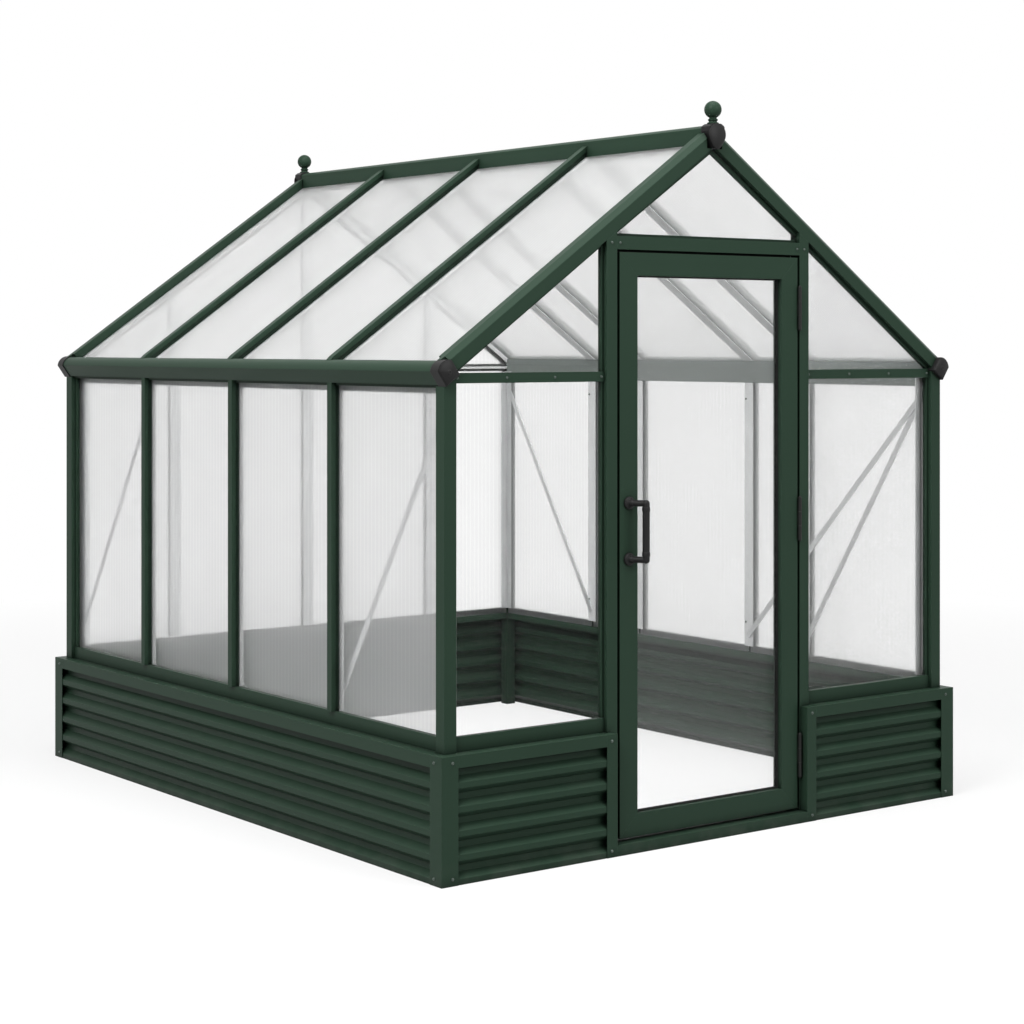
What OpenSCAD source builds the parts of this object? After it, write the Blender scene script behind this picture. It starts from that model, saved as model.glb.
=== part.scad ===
// Greenhouse: painted frame, twin-wall glazing, corrugated base and one hinged door.
// Origin at ground level under the middle; +X across the front, front gable towards -Y, +Z up.

/* [Overall] */
// Width of the wall frame across the gable
frame_w = 2060; // [1700:10:2600]
// Length of the wall frame along the ridge
frame_d = 2440; // [2000:10:3600]
// Pitch of the roof in degrees
roof_pitch = 35; // [33:1:40]

/* [Base] */
// Height of the corrugated base
base_h = 368; // [300:1:420]
// How far the base stands out beyond the wall frame
base_out = 31; // [30:1:60]
// Number of ribs in a base panel
base_ribs = 5; // [3:1:8]
// Depth of the ribs
rib_depth = 22; // [12:1:24]
// Thickness of the base sheet and angles
sheet_t = 2; // [1:0.5:2.5]
// Height of the base's top rail
base_rail_h = 36; // [28:1:50]
// Width of a corner angle's flanges
corner_flange_w = 58; // [40:1:75]
// Width of the angles beside the doorway
door_flange_w = 40; // [30:1:55]

/* [Frame] */
// Face width of corner posts, and depth of the wall frame
post_w = 42; // [38:1:55]
// Face width of a glazing bar
bar_face_w = 25; // [20:1:34]
// Depth of a glazing bar's face block
bar_face_t = 15; // [8:1:20]
// Width of a glazing bar's web
bar_web_w = 14; // [8:1:18]
// Width of a glazing bar's inner flange
bar_flange_w = 44; // [30:1:60]
// Thickness of a glazing bar's inner flange
bar_flange_t = 3; // [2:0.5:3]
// Number of bays in the left wall and left roof slope
left_bays = 4; // [2:1:6]
// Spacing of the right wall's outer bars from the middle
right_outer_bar = 610; // [550:5:800]
// Spacing of the right wall's inner bars from the middle
right_inner_bar = 316; // [200:1:400]
// Spacing of the back wall's bars from the middle
back_bar = 595; // [450:5:700]
// Height of the glazing sill rails
sill_h = 43; // [30:1:60]
// Height of the gable tie rails
tie_h = 30; // [24:1:45]
// Drop from the eave rail's centre to the tie rail's lower edge
tie_drop = 32; // [27:1:90]

/* [Roof] */
// How far the eave rail's centre stands outside the wall's face, less than 0 for inside
eave_out = -6.5; // [-10:0.5:-2]
// Width of the eave rail along the slope
eave_w = 52; // [44:1:60]
// Rise of the eave rail's domed top
eave_dome = 11; // [6:1:14]
// Width of the ridge beam
ridge_w = 56; // [44:1:70]
// Depth of a gable rafter across its face
rafter_h = 52; // [48:1:62]
// Size of the bevel along a rafter's outer edge
rafter_bevel = 14; // [6:1:20]
// Length of the end caps along the ridge and eaves
cap_l = 40; // [25:1:50]
// How far the end caps stand in front of the gable
cap_proud = 12; // [6:1:20]
// How much the end caps stand out around the rails
cap_lip = 3; // [1:0.5:5]
// Diameter of a finial's ball
ball_d = 55; // [40:1:70]
// Height of a finial's neck
neck_h = 19; // [12:1:30]

/* [Glazing] */
// Thickness of the glazing panels
pane_t = 6; // [4:1:6]
// Depth of the wall glazing behind the frame's face
pane_depth = 30; // [26:1:31]
// Clearance around a glazing panel
pane_gap = 0.2; // [0.1:0.1:0.5]

/* [Door] */
// Clear width between the door jambs
door_open_w = 762; // [650:1:850]
// Offset of the doorway from the gable's centre line
door_shift = -13; // [-60:1:60]
// Height of the header's underside
door_open_h = 1818; // [1700:1:1825]
// Height of the header
header_h = 40; // [30:1:45]
// Clearance from the header's corner up to the rafters
header_clear = 14; // [8:1:60]
// Face width of a door jamb
jamb_w = 40; // [30:1:45]
// Running gap around the door
door_gap = 10; // [8:1:14]
// How far the door stops reach into the doorway
stop_reach = 18; // [12:1:30]
// Thickness of the door stops
stop_t = 3; // [2:0.5:5]
// Height of the door sill
sill_rise = 33; // [20:1:45]
// Width of the door's stiles and rails
stile_w = 70; // [55:1:90]
// Thickness of the door leaf
door_t = 38; // [34:1:42]
// Depth of the door pane behind the door's face
door_pane_depth = 21; // [10:1:24]
// Depth of the groove that holds the door pane
groove_d = 10; // [6:1:15]
// Distance of the base angle from the doorway on the latch side
latch_reveal = 24; // [4:1:40]
// Distance of the base angle from the doorway on the hinge side
hinge_reveal = 4; // [4:1:40]
// Height of the handle's centre
handle_z = 968; // [800:1:1100]
// Length of the handle between its feet
handle_l = 170; // [120:1:250]
// Reach of the handle's grip from the door
handle_reach = 64; // [54:1:66]
// How far the handle's grip is set sideways towards the pane
handle_set = 24; // [0:1:26]
// Diameter of the handle's grip
grip_d = 22; // [16:1:24]
// Length of a hinge
hinge_l = 135; // [80:1:180]
// Radius of a hinge knuckle
knuckle_r = 6; // [5:0.5:6]
// Thickness of a hinge leaf
hinge_t = 2; // [1.5:0.5:2]

/* [Braces] */
// Width of a brace
brace_w = 20; // [14:1:30]
// Thickness of a brace
brace_t = 3; // [2:0.5:4]
// Drop from the eave rail's centre to a brace's upper end
brace_drop = 92; // [80:1:250]
// Rise from the base to a brace's lower end
brace_rise = 82; // [62:1:230]

/* [Hidden] */
$fn = 48;
green = "darkslategray";
black = "dimgray";
grey = "silver";
clear = "whitesmoke";
big = 4000;
fit = 0.2;
hw = frame_w / 2;
hd = frame_d / 2;
bw = hw + base_out;
bd = hd + base_out;
run = cos(roof_pitch);
rise = sin(roof_pitch);
slope = tan(roof_pitch);
bar_n = 35;
jamb_l = door_shift - door_open_w / 2;
jamb_r = door_shift + door_open_w / 2;

// The eaves stand as high as the door's header needs under the rafters.
header_top = door_open_h + header_h;
header_half = max(-jamb_l, jamb_r);
eave_z = header_top + header_clear - (hw + eave_out - header_half) * slope + (rafter_h - bar_n) / run;
tie_z = eave_z - tie_drop;
brace_top = eave_z - brace_drop;
brace_low = base_h + brace_rise;

// Base sheet: ribs stand proud, valleys lie rib_depth behind them.
rail_lap = 26;
rib_pitch = (base_h - rail_lap) / base_ribs;
rib_step = rib_pitch / 4;
rib_outer = sheet_t;
rib_inner = sheet_t + rib_depth;
panel_end = rib_inner + 2 * sheet_t;

// Wall bars: depths run inwards from the frame's face.
pane_back = pane_depth + pane_t;
bar_depth = pane_back + bar_flange_t;
lip_depth = 12;
lip_back = pane_depth - fit;
sill_top = base_h + sill_h;
pane_z = base_h + sill_h / 2;
left_bars = [for (i = [1 : left_bays - 1]) -hd + i * frame_d / left_bays];
right_bars = [-right_outer_bar, -right_inner_bar, right_inner_bar, right_outer_bar];
back_bars = [-back_bar, 0, back_bar];

// Eave and roof: t runs up the slope, n stands square to it, both from the eave rail's centre.
eave_half = eave_w / 2;
eave_low_n = -eave_half;
eave_shoulder = 22;
dome_r = (eave_half * eave_half + eave_dome * eave_dome) / (2 * eave_dome);
dome_n = eave_shoulder + eave_dome - dome_r;
plate_z = eave_z - 37;
plate_n = bar_n - bar_depth;
lip_drop = 8;
inner_plate_drop = 25;
rafter_low_n = bar_n - rafter_h;
apex = eave_z + (hw + eave_out) * slope + bar_n / run;
ridge_half = ridge_w / 2;
ridge_low = apex - ridge_half * slope - bar_depth / run - 3;
ridge_shoulder = apex - 6;
ridge_dome = 11;
ridge_r = (ridge_half * ridge_half + ridge_dome * ridge_dome) / (2 * ridge_dome);
ridge_top = ridge_shoulder + ridge_dome;
rail_end = hd + cap_proud - cap_l;
eave_room = eave_half + cap_lip + fit;
cap_half = ridge_half + cap_lip;
cap_flat = ridge_top + cap_lip;
cap_drop = 70;
cap_dome_r = 44;
ball_r = ball_d / 2;
neck_r = 12;
flare_r = 15;
joint_gap = 0.4;

// Door leaf and its hinges.
leaf_l = jamb_l + door_gap;
leaf_r = jamb_r - door_gap;
leaf_low = sill_rise + door_gap - 1;
leaf_top = door_open_h - door_gap + 2;
post_l = jamb_l - latch_reveal;
post_r = jamb_r + hinge_reveal;
axis_x = jamb_r - door_gap / 2;
axis_y = -hd - knuckle_r;
hinge_low = 170;
hinge_high = 162;
hinge_lift = 46;
hinge_zs = [leaf_low + hinge_low, (leaf_low + leaf_top) / 2 + hinge_lift, leaf_top - hinge_high];
stop_lap = 12;
stop_depth = post_w + stop_t;
stop_top = door_open_h - stop_reach - fit;
hinge_plate_d = 28;
knuckle_gap = 0.6;
handle_x = leaf_l + stile_w / 2;
foot_r = 19;
foot_t = 6;
foot_sink = 1;

// A box between two corners.
module block(low, high) {
    translate(low) cube(high - low);
}

// Wall frames: local X runs along the wall, local Y points outwards from the frame's face.
module on_left() {
    translate([-hw, 0, 0]) rotate([0, 0, 90]) children();
}
module on_right() {
    mirror([1, 0, 0]) on_left() children();
}
module on_back() {
    translate([0, hd, 0]) children();
}
module on_front() {
    mirror([0, 1, 0]) on_back() children();
}

// Slope frame of the left roof: X up the slope, Y along the ridge, Z square to the slope.
module on_slope() {
    translate([-hw - eave_out, 0, eave_z]) rotate([0, -roof_pitch, 0]) children();
}
module both_sides() {
    children();
    mirror([1, 0, 0]) children();
}
module both_ends() {
    children();
    mirror([0, 1, 0]) children();
}

// Space under both rafters and the ridge, less a clearance.
module under_rafters(gap = fit / 2) {
    z0 = apex - rafter_h / run - gap;
    top = min(z0, ridge_low - gap) - fit;
    half = (z0 - top) / slope;
    rotate([90, 0, 0]) linear_extrude(2 * big, center = true) polygon([
        [-big, -1], [big, -1], [big, z0 - big * slope], [half, top], [-half, top], [-big, z0 - big * slope]
    ]);
}

// Leaves room for the eave rails and their caps.
module clear_of_eaves() {
    difference() {
        children();
        both_sides() on_slope() block([-eave_room, -big, -eave_room], [eave_room, big, big]);
    }
}

// Everything on the left of the ridge beam.
module left_of_ridge(gap = 0) {
    block([-big, -big, 0], [-ridge_half - gap, big, big]);
}

// Section of a glazing bar: face block, web and inner flange.
module bar_section() {
    translate([-bar_face_w / 2, -bar_face_t]) square([bar_face_w, bar_face_t]);
    translate([-bar_web_w / 2, -pane_back]) square([bar_web_w, pane_back]);
    translate([-bar_flange_w / 2, -bar_depth]) square([bar_flange_w, bar_flange_t]);
}
module wall_bar(x, low, high) {
    translate([x, 0, low]) linear_extrude(high - low) bar_section();
}

// Corrugated sheet: section in depth and height, run along the wall from x0 to x1.
function rib_line(shift) = concat(
    [for (k = [0 : base_ribs - 1]) each [
        [rib_outer + shift, k * rib_pitch],
        [rib_outer + shift, k * rib_pitch + rib_step],
        [rib_inner + shift, k * rib_pitch + 2 * rib_step],
        [rib_inner + shift, k * rib_pitch + 3 * rib_step]
    ]],
    [[rib_outer + shift, base_ribs * rib_pitch], [rib_outer + shift, base_h - sheet_t - fit]]
);
function reversed(list) = [for (i = [len(list) - 1 : -1 : 0]) list[i]];
module corrugated(x0, x1) {
    translate([x0, base_out, 0]) rotate([90, 0, 90]) linear_extrude(x1 - x0) mirror([1, 0])
        polygon(concat(rib_line(0), reversed(rib_line(sheet_t))));
}

// Base top rail along a wall: face strip and top flange, both between x0 and x1.
module base_rail(x0, x1) {
    block([x0, base_out - sheet_t, base_h - base_rail_h], [x1, base_out, base_h]);
    block([x0, -post_w, base_h - sheet_t], [x1, base_out, base_h]);
}

// Flange of the side rails that runs on behind the corner angles.
module side_rail() {
    face = bd - corner_flange_w - fit;
    tail = bd - sheet_t - joint_gap;
    base_rail(-face, face);
    block([-tail, -post_w, base_h - sheet_t], [tail, base_out - sheet_t - fit, base_h]);
}

// Sill rail: front lip with a foot behind it that carries the panels.
module sill_rail(x0, x1) {
    block([x0, -lip_back, base_h], [x1, -lip_depth, sill_top]);
    block([x0, -post_w, base_h], [x1, -lip_depth, pane_z]);
}

// Tie rail: front lip with a web between the panels below and above it.
module tie_rail(x0, x1) {
    block([x0, -lip_back, tie_z], [x1, -lip_depth, tie_z + tie_h]);
    block([x0, -post_w, tie_z + tie_h / 3], [x1, -lip_depth, tie_z + tie_h * 2 / 3]);
}

// Panes between the stops of a wall, from low to high.
module panes(stops, low, high) {
    for (i = [0 : len(stops) - 2])
        block([stops[i][1] + pane_gap, -pane_back, low + pane_gap],
              [stops[i + 1][0] - pane_gap, -pane_depth, high - pane_gap]);
}
function bar_stops(bars, half) = concat(
    [[-half, -half + post_w]],
    [for (b = bars) [b - bar_web_w / 2, b + bar_web_w / 2]],
    [[half - post_w, half]]
);

// Eave rail section across the slope, grown by an allowance.
module eave_section(grow = 0) {
    intersection() {
        translate([0, dome_n]) circle(dome_r + grow);
        translate([-eave_half - grow, eave_low_n - grow])
            square([eave_w + 2 * grow, eave_w * 2]);
    }
}

// Wall plate under the eave rail, between the corner posts.
module eave_plate(bars) {
    stops = bar_stops(bars, hd);
    intersection() {
        on_left() block([-hd + post_w + fit, -post_w, plate_z], [hd - post_w - fit, 0, plate_z + 80]);
        on_slope() union() {
            block([-big, -big, -big], [big, big, eave_low_n]);
            block([eave_half, -big, -big], [big, big, plate_n - fit]);
        }
    }
    on_left() {
        block([-hd + post_w + fit, -post_w, plate_z - inner_plate_drop],
              [hd - post_w - fit, -bar_depth, plate_z]);
        for (i = [0 : len(stops) - 2])
            block([stops[i][1] + fit + (i == 0 ? 0 : bar_face_w / 2), -lip_back, plate_z - lip_drop],
                  [stops[i + 1][0] - fit - (i == len(stops) - 2 ? 0 : bar_face_w / 2), -lip_depth, plate_z]);
    }
}
module eave_rail(bars) {
    on_slope() rotate([90, 0, 0]) linear_extrude(2 * rail_end, center = true) eave_section();
    eave_plate(bars);
}

// Roof bars and panes of the left slope for a list of bar places.
module roof_bars(bars) {
    intersection() {
        on_slope() for (b = bars)
            translate([eave_half, b, bar_n]) rotate([90, 0, 90]) linear_extrude(big) bar_section();
        left_of_ridge();
    }
}
module roof_panes(bars) {
    stops = bar_stops(bars, hd);
    intersection() {
        on_slope() for (i = [0 : len(stops) - 2])
            block([eave_half + pane_gap, stops[i][1] + pane_gap, bar_n - pane_back],
                  [big, stops[i + 1][0] - pane_gap, bar_n - pane_depth]);
        left_of_ridge(pane_gap);
    }
}

// Left rafter of the front gable, with its bevelled outer edge.
module rafter() {
    difference() {
        intersection() {
            on_slope() translate([eave_room, 0, 0]) rotate([90, 0, 90]) linear_extrude(big) polygon([
                [-hd + rafter_bevel, bar_n], [-hd + post_w, bar_n], [-hd + post_w, rafter_low_n],
                [-hd, rafter_low_n], [-hd, bar_n - rafter_bevel]
            ]);
            block([-big, -big, 0], [-joint_gap / 2, big, big]);
        }
        block([-cap_half - fit, -big, ridge_low - fit], [cap_half + fit, big, big]);
    }
}

// Ridge section across the gable, with its domed top.
module ridge_section() {
    intersection() {
        translate([-ridge_half, ridge_low]) square([ridge_w, ridge_top - ridge_low]);
        union() {
            translate([0, ridge_top - ridge_r]) circle(ridge_r);
            translate([-ridge_half, ridge_low]) square([ridge_w, ridge_shoulder - ridge_low]);
        }
    }
}
module ridge_cap_section() {
    intersection() {
        polygon([
            [-cap_half, cap_flat], [cap_half, cap_flat], [cap_half, apex - cap_half / 2],
            [cap_half / 3, apex - cap_drop], [-cap_half / 3, apex - cap_drop],
            [-cap_half, apex - cap_half / 2]
        ]);
        translate([0, cap_flat + cap_lip - cap_dome_r]) circle(cap_dome_r);
    }
}

// Flat bar in a wall's plane from an end post to a bar, cut square at the post.
module brace(from, to, depth) {
    along = (to - from) / norm(to - from);
    side = [-along[1], along[0]] * brace_w / 2;
    start = from - along * brace_w;
    end = hd - post_w - fit;
    translate([0, -depth, 0]) rotate([90, 0, 0]) linear_extrude(brace_t) intersection() {
        polygon([start - side, to - side, to + side, start + side]);
        translate([-end, 0]) square([2 * end, big]);
    }
}

// Base.
module base_left_panel() {
    color(green) on_left() corrugated(-bd + panel_end, bd - panel_end);
}
module base_right_panel() {
    color(green) on_right() corrugated(-bd + panel_end, bd - panel_end);
}
module base_back_panel() {
    color(green) on_back() corrugated(-bw + panel_end, bw - panel_end);
}
module base_front_left_panel() {
    color(green) on_front() corrugated(-bw + panel_end, post_l - sheet_t - fit);
}
module base_front_right_panel() {
    color(green) on_front() corrugated(post_r + sheet_t + fit, bw - panel_end);
}
module base_corner_posts() {
    color(green) both_sides() both_ends() {
        block([-bw, -bd, 0], [-bw + corner_flange_w, -bd + sheet_t, base_h]);
        block([-bw, -bd, 0], [-bw + sheet_t, -bd + corner_flange_w, base_h]);
    }
}
module base_door_posts() {
    color(green) on_front() {
        block([post_l - door_flange_w, base_out - sheet_t, 0], [post_l, base_out, base_h]);
        block([post_l - sheet_t, 0, 0], [post_l, base_out, base_h]);
        block([post_r, base_out - sheet_t, 0], [post_r + door_flange_w, base_out, base_h]);
        block([post_r, 0, 0], [post_r + sheet_t, base_out, base_h]);
    }
}
module base_top_rails() {
    end = hw - post_w - joint_gap;
    face = bw - corner_flange_w - fit;
    color(green) {
        on_left() side_rail();
        on_right() side_rail();
        on_back() intersection() {
            base_rail(-face, face);
            union() {
                block([-end, -big, 0], [end, big, big]);
                block([-face, base_out - sheet_t, 0], [face, big, base_h]);
            }
        }
        on_front() difference() {
            intersection() {
                base_rail(-face, face);
                union() {
                    block([-end, -big, 0], [end, big, big]);
                    block([-face, base_out - sheet_t, 0], [face, big, base_h]);
                }
            }
            block([post_l - door_flange_w - fit, -big, 0], [post_r + door_flange_w + fit, big, big]);
        }
    }
}
module base_inner_posts() {
    color(green) both_sides() both_ends()
        block([-hw, -hd, 0], [-hw + post_w, -hd + post_w, base_h - sheet_t]);
}
module door_sill() {
    color(green) on_front() {
        block([post_l + fit, 0, 0], [post_r - fit, base_out, sill_rise]);
        block([jamb_l + fit, -post_w, 0], [jamb_r - fit, base_out, sill_rise]);
    }
}

// Wall frame.
module corner_posts() {
    color(green) clear_of_eaves() intersection() {
        both_sides() both_ends() block([-hw, -hd, base_h], [-hw + post_w, -hd + post_w, big]);
        under_rafters();
    }
}
module left_wall_mullions() {
    color(green) on_left() for (b = left_bars) wall_bar(b, sill_top, plate_z);
}
module right_wall_mullions() {
    color(green) on_right() for (b = right_bars) wall_bar(b, sill_top, plate_z);
}
module back_wall_mullions() {
    color(green) on_back() for (b = back_bars) wall_bar(b, sill_top, tie_z);
    color(green) intersection() {
        on_back() for (b = back_bars) wall_bar(b, tie_z + tie_h, big);
        under_rafters();
    }
}
module sill_rails() {
    color(green) {
        on_left() sill_rail(-hd + post_w + fit, hd - post_w - fit);
        on_right() sill_rail(-hd + post_w + fit, hd - post_w - fit);
        on_back() sill_rail(-hw + post_w + fit, hw - post_w - fit);
        on_front() {
            sill_rail(-hw + post_w + fit, jamb_l - jamb_w - fit);
            sill_rail(jamb_r + jamb_w + fit, hw - post_w - fit);
        }
    }
}
module eave_rails() {
    color(green) eave_rail(left_bars);
    color(green) mirror([1, 0, 0]) eave_rail(right_bars);
}
module gable_tie_rails() {
    color(green) clear_of_eaves() on_back() tie_rail(-hw + post_w + fit, hw - post_w - fit);
    color(green) clear_of_eaves() on_front() {
        tie_rail(-hw + post_w + fit, jamb_l - jamb_w - fit);
        tie_rail(jamb_r + jamb_w + fit, hw - post_w - fit);
    }
}
module door_jambs() {
    color(green) intersection() {
        on_front() {
            block([jamb_l - jamb_w, -post_w, 0], [jamb_l, 0, big]);
            block([jamb_r, -post_w, 0], [jamb_r + jamb_w, 0, big]);
        }
        under_rafters();
    }
    color(green) on_front() {
        block([jamb_l - stop_lap, -stop_depth, sill_rise], [jamb_l + stop_reach, -post_w, stop_top]);
        block([jamb_r - stop_reach, -stop_depth, sill_rise], [jamb_r + stop_lap, -post_w, stop_top]);
    }
}
module door_header() {
    color(green) on_front() {
        block([jamb_l + fit, -post_w, door_open_h], [jamb_r - fit, 0, header_top]);
        block([jamb_l + fit, -stop_depth, stop_top + fit], [jamb_r - fit, -post_w, door_open_h + stop_lap]);
    }
}
module front_rafters() {
    color(green) both_sides() rafter();
}
module back_rafters() {
    color(green) mirror([0, 1, 0]) both_sides() rafter();
}
module ridge_beam() {
    color(green) rotate([90, 0, 0]) linear_extrude(2 * rail_end, center = true) ridge_section();
}
module left_roof_bars() {
    color(green) roof_bars(left_bars);
}
module right_roof_bars() {
    color(green) mirror([1, 0, 0]) roof_bars(right_bars);
}

// Glazing.
module left_wall_glazing() {
    color(clear) on_left() panes(bar_stops(left_bars, hd), pane_z, plate_z);
}
module right_wall_glazing() {
    color(clear) on_right() panes(bar_stops(right_bars, hd), pane_z, plate_z);
}
module back_wall_glazing() {
    stops = bar_stops(back_bars, hw);
    color(clear) on_back() panes(stops, pane_z, tie_z + tie_h / 3);
    color(clear) clear_of_eaves() intersection() {
        on_back() panes(stops, tie_z + tie_h * 2 / 3, big);
        under_rafters(pane_gap);
    }
}
module front_wall_glazing() {
    stops_l = [[-hw, -hw + post_w], [jamb_l - jamb_w, jamb_l]];
    stops_r = [[jamb_r, jamb_r + jamb_w], [hw - post_w, hw]];
    stops_top = [[jamb_l - jamb_w, jamb_l], [jamb_r, jamb_r + jamb_w]];
    color(clear) on_front() for (stops = [stops_l, stops_r]) panes(stops, pane_z, tie_z + tie_h / 3);
    color(clear) clear_of_eaves() intersection() {
        on_front() {
            for (stops = [stops_l, stops_r]) panes(stops, tie_z + tie_h * 2 / 3, big);
            panes(stops_top, header_top, big);
        }
        under_rafters(pane_gap);
    }
}
module left_roof_glazing() {
    color(clear) roof_panes(left_bars);
}
module right_roof_glazing() {
    color(clear) mirror([1, 0, 0]) roof_panes(right_bars);
}

// Trim.
module eave_caps() {
    color(black) both_sides() both_ends() on_slope()
        translate([0, -rail_end, 0]) rotate([90, 0, 0]) linear_extrude(cap_l) eave_section(cap_lip);
}
module ridge_caps() {
    color(black) both_ends()
        translate([0, -rail_end, 0]) rotate([90, 0, 0]) linear_extrude(cap_l) ridge_cap_section();
}
module finials() {
    color(green) both_ends() translate([0, -rail_end - cap_l / 2, cap_flat]) {
        cylinder(h = neck_h / 3, r1 = flare_r, r2 = neck_r);
        cylinder(h = neck_h + ball_r, r = neck_r);
        translate([0, 0, neck_h + ball_r - 2]) sphere(ball_r);
    }
}

// Braces, from the end posts down to the bars.
module left_wall_braces() {
    end = hd - post_w - fit;
    color(grey) on_left() {
        brace([-end, brace_top], [left_bars[0], brace_low], bar_depth);
        brace([end, brace_low], [left_bars[left_bays - 2], brace_top], bar_depth);
    }
}
module right_wall_braces() {
    end = hd - post_w - fit;
    color(grey) on_right() {
        brace([-end, brace_top], [right_bars[0], brace_low], bar_depth);
        brace([end, brace_top], [right_bars[3], brace_low], bar_depth);
        brace([-end, brace_top], [right_bars[1], brace_low], bar_depth + brace_t + joint_gap);
    }
}

// Hinges: outer knuckles on the jamb, middle knuckle on the door.
module knuckle(low, high) {
    translate([axis_x, axis_y, low]) cylinder(h = high - low, r = knuckle_r);
}
module hinge_frame_leaves() {
    third = hinge_l / 3;
    color(black) for (z = hinge_zs) {
        block([jamb_r - hinge_t, -hd + knuckle_gap, z - hinge_l / 2],
              [jamb_r, -hd + hinge_plate_d, z + hinge_l / 2]);
        for (end = [-1, 1]) {
            low = z + (end < 0 ? -hinge_l / 2 : hinge_l / 6 + knuckle_gap);
            block([jamb_r - hinge_t, axis_y, low], [jamb_r, -hd + hinge_plate_d, low + third - knuckle_gap]);
            knuckle(low, low + third - knuckle_gap);
        }
    }
}
module hinge_door_leaves() {
    color(black) for (z = hinge_zs) {
        block([leaf_r, -hd + knuckle_gap, z - hinge_l / 2],
              [leaf_r + hinge_t, -hd + hinge_plate_d, z + hinge_l / 2]);
        block([leaf_r, axis_y, z - hinge_l / 6], [leaf_r + hinge_t, -hd + hinge_plate_d, z + hinge_l / 6]);
        knuckle(z - hinge_l / 6, z + hinge_l / 6);
    }
}

// Door leaf: mitred stiles and rails with a groove for the pane.
module leaf_section() {
    difference() {
        square([stile_w, door_t]);
        translate([stile_w - groove_d, door_pane_depth - fit]) square([groove_d, pane_t + 2 * fit]);
    }
}
module leaf_mitre(x0, x1, x2, x3) {
    rotate([90, 0, 0]) translate([0, 0, -big]) linear_extrude(2 * big) polygon([x0, x1, x2, x3]);
}
module leaf_stile() {
    translate([leaf_l, -hd, leaf_low]) intersection() {
        linear_extrude(leaf_top - leaf_low) leaf_section();
        leaf_mitre([0, 0], [stile_w, stile_w], [stile_w, leaf_top - leaf_low - stile_w],
                   [0, leaf_top - leaf_low]);
    }
}
module leaf_rail() {
    span = leaf_r - leaf_l;
    translate([leaf_l, -hd, leaf_low]) intersection() {
        rotate([90, 0, 90]) linear_extrude(span) mirror([1, -1]) leaf_section();
        leaf_mitre([0, 0], [span, 0], [span - stile_w, stile_w], [stile_w, stile_w]);
    }
}
module door_latch_stile() {
    color(green) leaf_stile();
}
module door_hinge_stile() {
    color(green) translate([leaf_l + leaf_r, 0, 0]) mirror([1, 0, 0]) leaf_stile();
}
module door_bottom_rail() {
    color(green) leaf_rail();
}
module door_top_rail() {
    color(green) translate([0, 0, leaf_low + leaf_top]) mirror([0, 0, 1]) leaf_rail();
}
module door_pane() {
    inset = stile_w - groove_d + fit;
    color(clear) block([leaf_l + inset, -hd + door_pane_depth, leaf_low + inset],
                       [leaf_r - inset, -hd + door_pane_depth + pane_t, leaf_top - inset]);
}
module door_handle() {
    grip_x = handle_x + handle_set;
    grip_y = -hd - handle_reach + grip_d / 2;
    arm_y = -hd - foot_t + foot_sink;
    arm_turn = atan2(handle_set, arm_y - grip_y);
    color(black) {
        for (z = [handle_z - handle_l / 2, handle_z + handle_l / 2]) {
            translate([handle_x, -hd, z]) rotate([90, 0, 0]) cylinder(h = foot_t, r = foot_r);
            translate([handle_x, arm_y, z]) rotate([90, 0, arm_turn])
                cylinder(h = norm([handle_set, arm_y - grip_y]), r = grip_d / 2 - 1);
            translate([grip_x, grip_y, z]) sphere(grip_d / 2);
        }
        translate([grip_x, grip_y, handle_z - handle_l / 2]) cylinder(h = handle_l, r = grip_d / 2);
    }
}

base_left_panel();
base_right_panel();
base_back_panel();
base_front_left_panel();
base_front_right_panel();
base_corner_posts();
base_door_posts();
base_top_rails();
base_inner_posts();
door_sill();
corner_posts();
left_wall_mullions();
right_wall_mullions();
back_wall_mullions();
sill_rails();
eave_rails();
gable_tie_rails();
door_jambs();
door_header();
front_rafters();
back_rafters();
ridge_beam();
left_roof_bars();
right_roof_bars();
left_wall_glazing();
right_wall_glazing();
back_wall_glazing();
front_wall_glazing();
left_roof_glazing();
right_roof_glazing();
eave_caps();
ridge_caps();
finials();
left_wall_braces();
right_wall_braces();
hinge_frame_leaves();
door_latch_stile();
door_hinge_stile();
door_top_rail();
door_bottom_rail();
door_pane();
door_handle();
hinge_door_leaves();
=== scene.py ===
"""Looks of the greenhouse: finishes, small fittings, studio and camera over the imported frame."""
import logging
import math
from dataclasses import dataclass, field, replace
from enum import Enum
from itertools import product
from typing import Callable, Iterable, Optional, Sequence

import bmesh
import bpy
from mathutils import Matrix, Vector


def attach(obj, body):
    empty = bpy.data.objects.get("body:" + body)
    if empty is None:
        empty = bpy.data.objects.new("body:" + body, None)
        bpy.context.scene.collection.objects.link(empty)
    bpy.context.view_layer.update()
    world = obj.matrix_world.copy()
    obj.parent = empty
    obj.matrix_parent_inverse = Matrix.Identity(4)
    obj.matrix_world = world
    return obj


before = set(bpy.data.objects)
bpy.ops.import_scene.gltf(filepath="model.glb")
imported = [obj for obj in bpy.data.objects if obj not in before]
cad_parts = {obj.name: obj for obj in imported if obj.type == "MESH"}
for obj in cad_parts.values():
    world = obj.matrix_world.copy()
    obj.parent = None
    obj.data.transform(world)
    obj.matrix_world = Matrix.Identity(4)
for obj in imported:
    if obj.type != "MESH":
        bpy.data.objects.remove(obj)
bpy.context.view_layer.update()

LOG = logging.getLogger("greenhouse")
WHITE = (1.0, 1.0, 1.0)
UP = Vector((0, 0, 1))
ENDS = (-1, 1)

Triple = tuple[float, float, float]
Span = tuple[float, float]
Profile = Sequence[tuple[float, float]]
Plane = tuple[Triple, float]
Socket = bpy.types.NodeSocket


class Body(str, Enum):
    """Bodies of the frame that a piece can ride."""

    STRUCTURE = "structure"
    DOOR = "door"


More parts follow.
